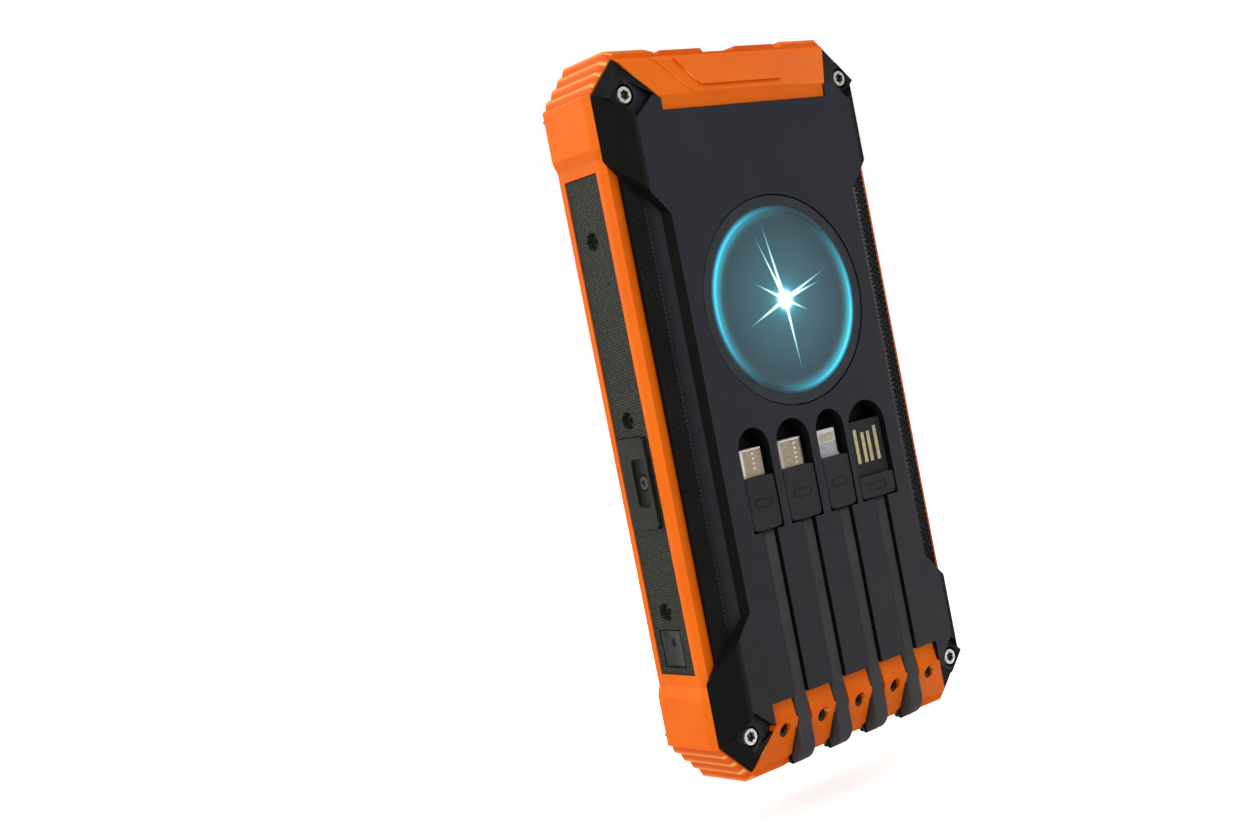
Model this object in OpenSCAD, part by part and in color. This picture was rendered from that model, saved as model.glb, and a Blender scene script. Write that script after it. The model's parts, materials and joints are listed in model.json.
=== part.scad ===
// Rugged solar power bank with a wireless charging pad and four stowed cables.
// Millimetres. Z is up along the length: charging-port end at the bottom,
// torch end at the top. The back, with the cables, faces -Y and the solar
// panel faces +Y. The modules work in a local frame with x across, y as depth
// below the back plane and z from mid-length; place() moves it to the origin
// at the centre of the base.

/* [Case] */
// Overall length, end bumper to end bumper
case_l = 174; // [170:1:180]
// Overall thickness, back plane to front plane
case_t = 29; // [28.6:0.1:30]
// Half width over the corner bumpers
block_x = 43; // [43:0.1:44]
// Half width over the side rails
rail_x = 42; // [41.6:0.1:42.2]
// Half width of the black covers at their corners
cover_x = 42.1; // [41.8:0.1:42.4]
// Half width of the black covers along the rails
waist_x = 38.8; // [38.4:0.1:39.2]
// Half width of the flat back plane beside its bevels
flat_x = 36; // [35.5:0.1:36.5]
// Depth of the back cover at its edge
back_edge_y = 5.8; // [5.6:0.1:6]
// Height of the front cover's bevel
front_bevel = 3.8; // [3.4:0.1:4.2]

/* [Corner screws] */
// Half spacing of the corner screws across
screw_x = 35; // [34.6:0.1:35.2]
// Half spacing of the corner screws along
screw_z = 75.5; // [75:0.1:75.8]
// Depth of the screw seats below the back plane
screw_y = 2.3; // [2:0.1:2.6]
// Depth of a screw's head in its seat
screw_sink = 1.1; // [0.8:0.1:1.3]

/* [Solar panel] */
// Half width of the panel
panel_x = 33.8; // [33:0.1:34.4]
// Half length of the panel
panel_z = 72.6; // [72:0.1:73]
// Cells in each of the two rows
cell_n = 10; // [8:1:12]

/* [Wireless pad] */
// Height of the pad's centre above mid-length
pad_z = 22.8; // [20:0.1:25]
// Radius of the pad
pad_r = 25.5; // [24:0.1:26.5]
// Radius of the light ring, at its middle
ring_r = 22.3; // [21:0.1:23]

/* [Cables] */
// Distance from cable to cable
cable_pitch = 12.7; // [12.6:0.05:12.8]
// Half width of a cable, which is square with its corners taken off
cable_r = 2.1; // [2:0.05:2.15]
// Depth of the stowed cables' centres
cable_y = 2.6; // [2.55:0.05:2.65]
// Lower end of the plug overmoulds
head_z = -29.8; // [-31:0.1:-29]
// Upper ends of the plugs
plug_z = -10.3; // [-11:0.1:-10]
// Radius of the cable's turn round the lower end
turn_r = 3.1; // [3:0.05:3.15]

/* [Side strips] */
// Lower end of a strip
strip_z0 = -59.4; // [-60:0.1:-59]
// Upper end of a strip
strip_z1 = 59.6; // [59:0.1:60]
// Depth of a strip's near edge
strip_y0 = 9.5; // [9.3:0.1:9.8]
// Depth of a strip's far edge
strip_y1 = 22.3; // [22:0.1:22.5]

/* [Buttons] */
// Height of the button centres
button_z = -53.1; // [-53.5:0.1:-52.8]
// Length of a button along the case
button_l = 8.6; // [8:0.1:8.8]
// Width of a button
button_w = 7.2; // [6.8:0.1:7.4]
// Gap round a button
button_gap = 0.3; // [0.2:0.05:0.35]
// Travel of a button
button_travel = 0.6; // [0.4:0.1:0.7]

/* [Port cover] */
// Half width of the rubber port cover
flap_x = 22.8; // [22:0.1:23]
// Depth of its near edge
flap_y0 = 12.2; // [12.1:0.05:12.4]
// Depth of its far edge
flap_y1 = 22.8; // [22.4:0.1:23]

/* [Hidden] */
$fn = 48;

gap = 0.15;
big = 200;
end_z = 85.2;               // plain end faces, from mid-length
tip_z = case_l / 2;         // corner bumpers, from mid-length
bump_y0 = 6.2;              // back surface of the bumper
bump_y1 = case_t - front_bevel - 0.2;
joint_y = 6;                // where the back cover meets the bumper
cav_x = 36.4;               // inner cavity of the bumper
cav_z = 81.4;
cav_chamfer = 9;
peak = [33.9, 84.7];        // outer corner of each black corner
shoulder = [cover_x, 76.3];
notch_z = [57.6, 61.3];     // where the back cover narrows along the rails
front_notch_z = [61, 64.7]; // where the front cover does
cap_x = 26.3;               // half width of the torch end's back cap
cap_z = 71;                 // its lower edge
cap_kink = 74;
cap_inner_x = 26.9;
turn_y = cable_y + turn_r;  // axis that a cable turns on
turn_z = -81.1;
boot_r = 2.55;
flange_r = 2.85;
cable_x = [for (i = [-1.5 : 1 : 1.5]) i * cable_pitch];
head_w = [9.2, 10.3, 8.9, 12.2];
head_t = 5;
pocket_top = -5.4;          // upper end of the pockets over the plugs
head_z1 = [-17.1, -17.1, -17.1, -24.2];
torch_x = 12.6;
torch_y = 15.6;
port_y = 17.4;              // depth of the port centres
button_y = 16.2;
tooth_z = -69.7;            // upper ends of the bumper's lower teeth
tooth_step = -74.4;
channel_x = cable_r + 0.3;  // half width of a cable's groove
teeth = concat([[-28.5, cable_x[0] - channel_x]],
               [for (i = [0 : 2]) [cable_x[i] + channel_x, cable_x[i + 1] - channel_x]],
               [[cable_x[3] + channel_x, 28.5]]);
sides = [-1, 1];

// ---------- frames and profiles ----------

// From the local frame to the part's own frame
module place() {
    translate([0, -case_t / 2, case_l / 2]) children();
}

// Extrude an (x, z) outline from depth y0 to depth y1
module slab(y0, y1) {
    translate([0, y1, 0]) rotate([90, 0, 0]) linear_extrude(y1 - y0) children();
}

// Extrude a (y, z) outline from x0 to x1
module run_x(x0, x1) {
    translate([x0, 0, 0]) rotate([90, 0, 90]) linear_extrude(x1 - x0) children();
}

// Extrude an (x, y) outline from z0 to z1
module run_z(z0, z1) {
    translate([0, 0, z0]) linear_extrude(z1 - z0) children();
}

// A box from its lowest to its highest corner
module block(a, b) {
    translate(a) cube(b - a);
}

// A cylinder along Y from depth y0 to y1
module rod_y(x, z, r, y0, y1) {
    translate([x, y0, z]) rotate([-90, 0, 0]) cylinder(h = y1 - y0, r = r);
}

// A cylinder along X
module rod_x(y, z, r, x0, x1) {
    translate([x0, y, z]) rotate([0, 90, 0]) cylinder(h = x1 - x0, r = r);
}

// The shapes for every quadrant: mirrored left-right and up-down
module four_ways() {
    for (sx = [0, 1], sz = [0, 1])
        mirror([sx, 0, 0]) mirror([0, 0, sz]) children();
}

module both_sides() {
    for (sx = [0, 1])
        mirror([sx, 0, 0]) children();
}

// Quarter of the plan of a black cover that narrows at notch
function quarter(notch) = [[waist_x, notch[0]], [cover_x, notch[1]], shoulder, peak];
function reverse(v) = [for (i = [len(v) - 1 : -1 : 0]) v[i]];
function all_round(q) = concat(
    [for (p = q) p], reverse([for (p = q) [-p[0], p[1]]]),
    [for (p = q) [-p[0], -p[1]]], reverse([for (p = q) [p[0], -p[1]]]));

module cover_plan(notch = notch_z) {
    polygon(all_round(quarter(notch)));
}

module cavity_plan(g = 0) {
    x = cav_x - g;
    z = cav_z - g;
    polygon(all_round([[x, z - cav_chamfer], [x - cav_chamfer, z]]));
}

// Plan of the bumper: side rails, corner blocks and ribbed corners
rail_end = [rail_x, 62.2];
block_start = [block_x, 64.8];
rib_n = 4;
rib_h = 0.9;
rib_a = [block_x, 76.8];
rib_b = [34.4, tip_z];
function on_rib(t, h) = rib_a + t * (rib_b - rib_a) + h * [0.75, 0.66];
bumper_quarter = concat(
    [rail_end, block_start],
    [for (i = [0 : rib_n - 1], k = [0, 1]) on_rib((i + k * 0.55) / rib_n, -k * rib_h)],
    [rib_b, [22.2, tip_z], [20.4, end_z]]);

// Bevelled envelope of the back cover: sides, ends and corners
module back_envelope() {
    end_flat = 74.4;
    corner_d = (peak[0] + peak[1]) / sqrt(2);
    corner_flat = corner_d - 6;
    intersection() {
        run_z(-big, big)
            polygon([[-flat_x, 0], [flat_x, 0], [cover_x, back_edge_y], [cover_x, 12],
                     [-cover_x, 12], [-cover_x, back_edge_y]]);
        run_x(-big, big)
            polygon([[0, -end_flat], [0, end_flat], [back_edge_y, peak[1]], [12, peak[1]],
                     [12, -peak[1]], [back_edge_y, -peak[1]]]);
        corner_bevels(corner_flat, corner_d);
    }
}

// 45 degree bevels across the four corners
module corner_bevels(flat_d, edge_d) {
    intersection_for (a = [45, -45])
        rotate([0, a, 0]) run_z(-big, big)
            polygon([[-flat_d, 0], [flat_d, 0], [edge_d, back_edge_y], [edge_d, 40],
                     [-edge_d, 40], [-edge_d, back_edge_y]]);
}

// The long shallow recess down each side of the back
module side_recess() {
    step_x = 30;
    intersection() {
        run_z(-big, big)
            polygon([[step_x, -1], [step_x, 0], [step_x + 0.9, 2.6], [waist_x, 4.6],
                     [waist_x + 6, 4.6], [waist_x + 6, -1]]);
        slab(-1, 5)
            polygon([[step_x, -47], [step_x, 47], [36.6, 54.6], [waist_x, notch_z[0]],
                     [48, notch_z[0]], [48, -notch_z[0]], [waist_x, -notch_z[0]],
                     [36.6, -54.6]]);
    }
}

// Diamond-shaped seat round each corner screw
module seat_plan() {
    polygon([[35.6, 80], [28.3, 75], [34.4, 69.9], [40.2, 75.4]]);
}

// The seat, chamfered along its outer edge
module seat_block() {
    edge = (40.2 + 75.4) / sqrt(2);
    intersection() {
        slab(screw_y, joint_y) seat_plan();
        rotate([0, -45, 0]) run_z(-big, big)
            polygon([[0, screw_y], [edge - 0.9, screw_y], [edge, screw_y + 1.2], [edge, joint_y],
                     [0, joint_y]]);
    }
}

// ---------- torch end cap and lower teeth: shared by bumper and cover ----------

module cap_plan(g = 0) {
    polygon([[-cap_x - g, cap_z - g], [cap_x + g, cap_z - g], [cap_x + g, cap_kink],
             [cap_inner_x + g, cap_kink], [peak[0] + g, peak[1]], [peak[0], 90],
             [-peak[0], 90], [-peak[0] - g, peak[1]], [-cap_inner_x - g, cap_kink],
             [-cap_x - g, cap_kink]]);
}

module end_slope() {
    run_x(-60, 60)
        polygon([[0.5, cap_z - 1], [0.1, cap_kink + 0.4], [4.6, 83.6], [bump_y0 + 0.5, end_z - 0.1],
                 [bump_y0 + 3, end_z - 0.1], [bump_y0 + 3, cap_z - 1]]);
}

module cap_body() {
    intersection() {
        slab(-1, bump_y0 + 1) cap_plan();
        end_slope();
    }
}

module teeth_plan(g = 0) {
    for (i = [0 : 4]) {
        a = teeth[i][0] - g;
        b = teeth[i][1] + g;
        low_a = i == 0 ? -peak[0] - g : a;
        low_b = i == 4 ? peak[0] + g : b;
        polygon([[a, tooth_z + g], [b, tooth_z + g], [b, tooth_step], [low_b, -peak[1]],
                 [low_b, -90], [low_a, -90], [low_a, -peak[1]], [a, tooth_step]]);
    }
}

module tooth_slope() {
    run_x(-60, 60)
        polygon([[1.5, tooth_z + 1], [0.7, tooth_step], [0.1, tooth_step - 0.3],
                 [4.6, -83.6], [bump_y0 + 0.5, 0.1 - end_z], [bump_y0 + 3, 0.1 - end_z],
                 [bump_y0 + 3, tooth_z + 1]]);
}

module teeth_body() {
    intersection() {
        slab(-1, bump_y0 + 1) teeth_plan();
        tooth_slope();
    }
}

// ---------- room for the cables ----------

// Pocket for one plug and its head: an arch at the top
module plug_pocket(i, g) {
    w = head_w[i] / 2 + g;
    slab(-1, cable_y + head_t / 2 + g)
        union() {
            translate([cable_x[i] - w, head_z - g])
                square([2 * w, pocket_top - w - head_z + g]);
            translate([cable_x[i], pocket_top - w]) circle(w);
        }
}

// Groove for one cable
module cable_groove(i) {
    block([cable_x[i] - channel_x, -1, -big / 2],
          [cable_x[i] + channel_x, cable_y + channel_x, head_z]);
}

// Cylinder that a cable turns in at the lower end
module turn_space(i) {
    w = boot_r + 0.15;
    r = turn_r + boot_r + 0.15;
    rod_x(turn_y, turn_z, r, cable_x[i] - w, cable_x[i] + w);
    block([cable_x[i] - w, -1, -90], [cable_x[i] + w, turn_y, turn_z]);
}

// ---------- casing ----------

module back_cover() color([0.20, 0.20, 0.23]) place() {
    floor_y = 2.3;
    difference() {
        union() {
            difference() {
                intersection() {
                    slab(0, joint_y) cover_plan();
                    back_envelope();
                }
                both_sides() side_recess();
                four_ways() slab(-1, screw_y) seat_plan();
            }
            intersection() {
                slab(0, joint_y) cover_plan();
                four_ways() seat_block();
            }
            // lip inside the bumper
            difference() {
                slab(joint_y - 0.5, joint_y + 2.4) cavity_plan(gap);
                slab(joint_y - 1, joint_y + 3) cavity_plan(gap + 1.6);
            }
        }
        // hollow behind the pad and down both sides
        slab(floor_y, joint_y + 3) square_between([-29, -3.5], [29, 69]);
        both_sides() slab(floor_y + 3.2, joint_y + 3) square_between([28.9, -68], [34, 68]);
        slab(-1, 1.7) translate([0, pad_z]) circle(pad_r + 0.25, $fn = 96);
        for (i = [0 : 3]) {
            plug_pocket(i, 0.25);
            cable_groove(i);
            turn_space(i);
        }
        slab(-1, joint_y + 4) cap_plan(gap);
        slab(-1, joint_y + 4) teeth_plan(gap);
        for (sx = sides, sz = sides) {
            rod_y(sx * screw_x, sz * screw_z, 1.7, -1, 10);
            rod_y(sx * screw_x, sz * screw_z, 2.5, -1, screw_y + screw_sink);
        }
    }
}

module square_between(a, b) {
    translate(a) square(b - a);
}

module bumper_frame() color([0.95, 0.45, 0.10]) place() {
    difference() {
        union() {
            difference() {
                intersection() {
                    slab(bump_y0, bump_y1) polygon(all_round(bumper_quarter));
                    bumper_bevels();
                }
                slab(bump_y0 - 1, bump_y1 + 1) cavity_plan();
            }
            cap_body();
            teeth_body();
            torch_pads();
            front_plate();
            mirror([0, 0, 1]) front_plate();
            cap_trim();
        }
        rail_chamfers();
        for (i = [0 : 3]) turn_space(i);
        // strips, strap plates and buttons let into the sides
        both_sides() {
            block([rail_x - 1.2, strip_y0, strip_z0], [rail_x + 2, strip_y1, strip_z1]);
            button_hole();
            button_hole(1, cav_x + 1.5);
            for (z = strip_screw_z) {
                rod_x(button_y, z, 1.2, rail_x - 5, rail_x);
                rod_x(button_y, z, boss_r + gap, boss_x - 0.1, rail_x);
            }
        }
        // ports, their cover and the torches
        block([-flap_x - 0.3, flap_y0 - 0.3, -end_z - 2],
              [flap_x + 0.3, flap_y1 + 0.3, -end_z + 2.3]);
        block([-4.8, flap_y1, -end_z - 2], [4.8, flap_y1 + 1.2, -end_z + 0.9]);
        port_holes(0.2);
        both_sides() translate([torch_x, torch_y, cav_z - 1]) cylinder(h = 10, r = 5.9);
        slab(case_t - 1.6, case_t + 1) window_plan(0.1);
        slab(bump_y1 - 3, case_t) window_plan(-1.2);
        slab(bump_y1 - 3, case_t - 2.1) square_between([-15, -81.2], [15, -75]);
        for (x = bumper_screw_x) rod_y(x, bumper_screw_z, 1.75, -1, 3.5);
        for (sx = sides, sz = sides)
            rod_y(sx * screw_x, sz * screw_z, 1.2, 0, 16);
    }
}

// Chamfers along the edges of the bumper
module bumper_bevels() {
    c = 1.1;
    y0 = bump_y0;
    y1 = bump_y1;
    intersection() {
        run_z(-big, big)
            polygon([[-block_x + c, y0], [block_x - c, y0], [block_x, y0 + 2], [block_x, y1 - 1],
                     [block_x - c, y1], [-block_x + c, y1], [-block_x, y1 - 1],
                     [-block_x, y0 + 2]]);
        run_x(-big, big)
            polygon([[y0, -tip_z + c], [y0, tip_z - c], [y0 + 2, tip_z], [y1 - 1, tip_z],
                     [y1, tip_z - c], [y1, -tip_z + c], [y1 - 1, -tip_z], [y0 + 2, -tip_z]]);
        intersection_for (a = [45, -45])
            rotate([0, a, 0]) run_z(-big, big) {
                e = (rib_b[0] + rib_b[1]) / sqrt(2) + 0.5;
                polygon([[-e + 2.2, y0], [e - 2.2, y0], [e, y0 + 2.4], [e, y1 - 1.3],
                         [e - 1.8, y1], [-e + 1.8, y1], [-e, y1 - 1.3], [-e, y0 + 2.4]]);
            }
    }
}

// Small chamfers on the outer edges of the side rails, up to the corner blocks
module rail_chamfers() {
    both_sides() {
        edge_chamfer([rail_x, -rail_end[1]], rail_end);
        for (sz = [0, 1]) mirror([0, 0, sz]) edge_chamfer(rail_end, block_start);
    }
}

// Chamfers of both edges of the bumper's outer face, from a to b in (x, z)
module edge_chamfer(a, b) {
    over = 0.2;
    d = b - a;
    translate([a[0], 0, a[1]]) rotate([0, atan2(d[0], d[1]), 0])
        translate([0, 0, -over]) linear_extrude(norm(d) + 2 * over) {
            polygon([[-1, bump_y0 - 0.1], [0.1, bump_y0 - 0.1], [0.1, bump_y0 + 2]]);
            polygon([[-1.1, bump_y1 + 0.1], [0.1, bump_y1 + 0.1], [0.1, bump_y1 - 1]]);
        }
}

// Raised pads on the torch end that hold the torch lenses
module torch_pads() {
    pad_end = end_z + 1.1;
    both_sides()
        slab(bump_y0 + 0.6, bump_y1 - 1)
            polygon([[4, end_z - 1], [5.6, pad_end], [18.4, pad_end], [20, end_z - 1]]);
}

// Orange plate between the black corners on the solar side, and its edge
module front_plate() {
    intersection() {
        slab(bump_y1 - 0.5, case_t - 0.4)
            polygon([[-33.6, peak[1]], [-panel_x + 6.2, panel_z + 0.3],
                     [panel_x - 6.2, panel_z + 0.3], [33.6, peak[1]], [33.6, 88],
                     [-33.6, 88]]);
        run_x(-60, 60)
            polygon([[bump_y1 - 1, 60], [bump_y1 - 1, end_z], [bump_y1 + 1.6, end_z],
                     [case_t - 0.4, end_z - 1.6], [case_t - 0.4, 60]]);
    }
}

// Wide low plate, and the raised panel on it, on the back of the torch end
module cap_trim() {
    raised_on_cap(0.2)
        polygon([[-15.5, cap_kink], [15.5, cap_kink], [25.2, tip_z], [-25.2, tip_z]]);
    raised_on_cap(0.7)
        polygon([[-13, 76.4], [13, 76.4], [17, 83.6], [-17, 83.6]]);
}

module raised_on_cap(rise) {
    intersection() {
        slab(0.05, bump_y0 - 0.3) children();
        translate([0, -rise, 0]) end_slope();
    }
}

module window_plan(g = 0) {
    polygon([[-12.6 - g, -76.5 + g], [12.6 + g, -76.5 + g], [16.4 + g, -83.6 - g],
             [-16.4 - g, -83.6 - g]]);
}

module front_cover() color([0.16, 0.16, 0.17]) place() {
    y0 = bump_y1 + 0.05;
    difference() {
        union() {
            intersection() {
                slab(y0, case_t) cover_plan(front_notch_z);
                run_z(-big, big)
                    polygon([[-cover_x, 0], [-cover_x, case_t - front_bevel], [-flat_x, case_t],
                             [flat_x, case_t], [cover_x, case_t - front_bevel], [cover_x, 0]]);
                translate([0, case_t, 0]) mirror([0, 1, 0])
                    corner_bevels((peak[0] + peak[1]) / sqrt(2) - 5,
                                (peak[0] + peak[1]) / sqrt(2) + 1.8);
            }
            four_ways() slab(case_t - 2.6, case_t - 0.6) seat_plan();
            difference() {
                slab(y0 - 2.2, y0 + 0.3) cavity_plan(gap);
                slab(y0 - 3, y0 + 1) cavity_plan(gap + 1.6);
            }
        }
        // seat of the panel, and the orange plates at both ends
        slab(case_t - 2.4, case_t + 1) panel_plan(0.15);
        slab(y0 - 4, case_t - 3.4) cavity_plan(gap + 1.6);
        for (sz = [0, 1]) mirror([0, 0, sz])
            slab(y0 - 4, case_t + 1)
                polygon([[-33.8, peak[1] + 0.1], [-panel_x + 6, panel_z + 0.15],
                         [panel_x - 6, panel_z + 0.15], [33.8, peak[1] + 0.1], [33.8, 90],
                         [-33.8, 90]]);
        for (sx = sides, sz = sides)
            rod_y(sx * screw_x, sz * screw_z, 1.3, y0 - 4, case_t - 1.5);
    }
}

module panel_plan(g = 0) {
    x = panel_x + g;
    z = panel_z + g;
    polygon(all_round([[x, z - 6.6], [x - 6.1, z]]));
}

module gasket(y0, y1) {
    slab(y0, y1)
        difference() {
            cavity_plan(gap + 1.9);
            cavity_plan(gap + 3.1);
        }
}

module back_gasket() color([0.08, 0.08, 0.08]) place() gasket(joint_y + 1.2, joint_y + 2.2);

module front_gasket() color([0.08, 0.08, 0.08]) place() gasket(bump_y1 - 2, bump_y1 - 1);

// ---------- solar panel ----------

module panel_board() color([0.10, 0.12, 0.14]) place()
    slab(case_t - 2.2, case_t - 1.2) panel_plan();

// Two rows of cells with narrow gaps
module solar_cells() color([0.22, 0.25, 0.29]) place() {
    pitch = 13.1;
    for (row = sides, i = [0 : cell_n - 1])
        translate([row * 16.1, 0, (i - (cell_n - 1) / 2) * pitch])
            block([-14.4, case_t - 1.2, -pitch / 2 + 0.2], [14.4, case_t - 0.9, pitch / 2 - 0.2]);
}

module panel_glaze() color([0.45, 0.48, 0.52]) place()
    slab(case_t - 0.9, case_t - 0.2) panel_plan();

// ---------- wireless charging ----------

module wireless_pad() color([0.30, 0.40, 0.42]) place()
    difference() {
        slab(0.15, 1.6) translate([0, pad_z]) circle(pad_r, $fn = 96);
        slab(-1, 0.8) translate([0, pad_z]) difference() {
            circle(ring_r + 0.7, $fn = 96);
            circle(ring_r - 0.7, $fn = 96);
        }
    }

module light_ring() color([0.25, 0.75, 0.85]) place()
    slab(0.1, 0.8) translate([0, pad_z]) difference() {
        circle(ring_r + 0.65, $fn = 96);
        circle(ring_r - 0.65, $fn = 96);
    }

// Flat coil: two layers of close turns, shown as rings
module charging_coil() color([0.72, 0.40, 0.20]) place()
    translate([0, 0, pad_z])
        for (k = [0 : 9])
            rotate([-90, 0, 0]) translate([0, 0, 2.4])
                rotate_extrude($fn = 72) translate([10 + k * 1.15, 0]) square([1, 1.1]);

module ferrite_sheet() color([0.18, 0.18, 0.19]) place()
    slab(3.6, 4.2) translate([0, pad_z]) square([48, 48], center = true);

// ---------- cells and electronics ----------

module battery(y0, y1) {
    block([-29.5, y0, -56], [29.5, y1, 66]);
    // folded terminal edge of the pouch
    block([-24, (y0 + y1) / 2 - 1, -59], [24, (y0 + y1) / 2 + 1, -56]);
}

module battery_cell_back() color([0.62, 0.64, 0.66]) place() battery(7.4, 15.6);

module battery_cell_front() color([0.62, 0.64, 0.66]) place() battery(16.6, 24.6);

module battery_foam() color([0.12, 0.12, 0.13]) place()
    block([-28, 15.6, -54], [28, 16.6, 64]);

module main_board() color([0.06, 0.30, 0.16]) place()
    difference() {
        slab(12.4, 14)
            polygon([[-31.5, -61], [31.5, -61], [31.5, -73.5], [25.5, -79.8], [-25.5, -79.8],
                     [-31.5, -73.5]]);
        both_sides() rod_y(28.5, -64, 1.3, 0, 30);
    }

port_x = 14.4;

// Openings through the lower end wall
module port_holes(g) {
    both_sides()
        block([port_x - 6.6 - g, port_y - 2.9 - g, -end_z - 3],
              [port_x + 6.6 + g, port_y + 2.9 + g, -cav_z + 1]);
    block([-4.5 - g, port_y - 1.6 - g, -end_z - 3], [4.5 + g, port_y + 1.6 + g, -cav_z + 1]);
}

// Two full-size sockets: shell and tongue
module usb_a_ports() color([0.75, 0.75, 0.77]) place()
    both_sides() {
        difference() {
            block([port_x - 6.6, port_y - 2.9, -82.8], [port_x + 6.6, port_y + 2.9, -69]);
            block([port_x - 6.2, port_y - 2.5, -90], [port_x + 6.2, port_y + 2.5, -72.5]);
        }
        block([port_x - 5.4, port_y - 2.2, -81.4], [port_x + 5.4, port_y - 0.3, -72.5]);
    }

module usb_c_port() color([0.70, 0.70, 0.72]) place() {
    z1 = -74;
    difference() {
        stadium(port_y, 4.5, 1.6, -82.8, z1);
        stadium(port_y, 4.2, 1.3, -90, z1 - 1.2);
    }
    block([-3.3, port_y - 0.35, -81.6], [3.3, port_y + 0.35, z1 - 1.2]);
}

// Round-ended bar along Z, half width w, half height h
module stadium(y, w, h, z0, z1, x = 0) {
    run_z(z0, z1) translate([x, y]) {
        square([2 * (w - h), 2 * h], center = true);
        for (s = sides) translate([s * (w - h), 0]) circle(h);
    }
}

module led_board() color([0.06, 0.28, 0.15]) place()
    slab(24.6, 25.6) square_between([-14, -80.8], [14, -75.6]);

led_x = [for (i = [0 : 4]) -10.4 + i * 5.2];

module indicator_leds() color([0.30, 0.85, 0.35]) place()
    for (x = led_x)
        block([x - 0.8, 25.6, -79.4], [x + 0.8, 26.6, -77.8]);

module window_lens() color([0.03, 0.03, 0.04]) place()
    slab(case_t - 1.6, case_t - 0.7) window_plan();

module torch_board() color([0.06, 0.30, 0.16]) place()
    block([-22, 9.8, 72.2], [22, 21.4, 73.4]);

module torch_leds() color([0.95, 0.92, 0.70]) place()
    both_sides() block([torch_x - 1.8, torch_y - 1.8, 73.4], [torch_x + 1.8, torch_y + 1.8, 74.6]);

module torch_reflectors() color([0.85, 0.86, 0.88]) place()
    both_sides() translate([torch_x, torch_y, 74.7])
        rotate_extrude()
            polygon([[2.6, 0], [5.7, 6.4], [5.7, 9.9], [5.1, 9.9], [5.1, 6.6], [2, 0.3], [2, 0]]);

module torch_lenses() color([0.90, 0.93, 0.95]) place()
    both_sides() translate([torch_x, torch_y, 84.7]) {
        cylinder(h = 1, r = 5.7);
        translate([0, 0, 1]) cylinder(h = 0.5, r = 5.2);
    }

// ---------- sides ----------

strip_screw_z = [-44.3, 1.7, 44.5];
boss_x = rail_x - 3.1;      // inner end of a strip's screw bosses
boss_r = 2.7;
boss_floor = 0.8;
plate_z = [-24, -2.3];

// Opening for a button, g wider than the button all round, from x0 outwards
module button_hole(g = button_gap, x0 = cav_x - 2) {
    w = button_w / 2 + g;
    l = button_l / 2 + g;
    block([x0, button_y - w, button_z - l], [rail_x + 2, button_y + w, button_z + l]);
}

module side_strip() {
    difference() {
        union() {
            block([rail_x - 1.1, strip_y0 + gap, strip_z0 + gap],
                  [rail_x - 0.2, strip_y1 - gap, strip_z1 - gap]);
            for (z = strip_screw_z) rod_x(button_y, z, boss_r, boss_x, rail_x - 1);
        }
        button_hole();
        block([rail_x - 2, strip_y0 + 1.3, plate_z[0] - 0.1],
              [rail_x + 2, strip_y1 - 1.3, plate_z[1] + 0.1]);
        for (z = strip_screw_z) {
            rod_x(button_y, z, 1.25, boss_x - 1, rail_x);
            rod_x(button_y, z, 2.15, boss_x + boss_floor, rail_x + 1);
        }
    }
}

module side_strip_left() color([0.24, 0.25, 0.22]) place() mirror([1, 0, 0]) side_strip();

module side_strip_right() color([0.24, 0.25, 0.22]) place() side_strip();

plate_screw_y = 14.4;
plate_screw_z = -13.1;
recess_y = [12, 16.8];      // edges of the recess in a plate

// A rectangle from its lowest to its highest corner, with corners of radius r
module rounded(a, b, r) {
    square_between([a[0] + r, a[1]], [b[0] - r, b[1]]);
    square_between([a[0], a[1] + r], [b[0], b[1] - r]);
    for (x = [a[0] + r, b[0] - r], z = [a[1] + r, b[1] - r])
        translate([x, z]) circle(r);
}

// Raised block half-way down each side, with a screw in a long recess
module strap_plate() {
    half = 5.8;
    difference() {
        run_x(rail_x - 1.1, rail_x + 0.9)
            polygon([[strip_y0 + 2.2, plate_z[0]], [strip_y1 - 2.2, plate_z[0]],
                     [strip_y1 - 1.4, plate_z[0] + 0.8], [strip_y1 - 1.4, plate_z[1] - 0.8],
                     [strip_y1 - 2.2, plate_z[1]], [strip_y0 + 2.2, plate_z[1]],
                     [strip_y0 + 1.4, plate_z[1] - 0.8], [strip_y0 + 1.4, plate_z[0] + 0.8]]);
        run_x(rail_x - 0.1, rail_x + 2)
            rounded([recess_y[0], plate_screw_z - half], [recess_y[1], plate_screw_z + half], 1);
        rod_x(plate_screw_y, plate_screw_z, 2.05, rail_x - 0.5, rail_x + 2);
        rod_x(plate_screw_y, plate_screw_z, 1, rail_x - 3, rail_x + 2);
    }
}

module strap_plate_left() color([0.20, 0.21, 0.19]) place() mirror([1, 0, 0]) strap_plate();

module strap_plate_right() color([0.20, 0.21, 0.19]) place() strap_plate();

// Screw along +Y at the origin, head towards -Y, with a six-lobed socket
module screw(head_r, head_h, shank_r, length) {
    rotate([-90, 0, 0]) difference() {
        union() {
            cylinder(h = head_h, r = head_r);
            translate([0, 0, head_h]) cylinder(h = length, r = shank_r);
        }
        translate([0, 0, -1]) {
            cylinder(h = 1 + 0.6 * head_h, r = 0.34 * head_r, $fn = 24);
            for (a = [0 : 60 : 300]) rotate(a) translate([0.4 * head_r, 0, 0])
                cylinder(h = 1 + 0.6 * head_h, r = 0.15 * head_r, $fn = 16);
        }
    }
}

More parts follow.
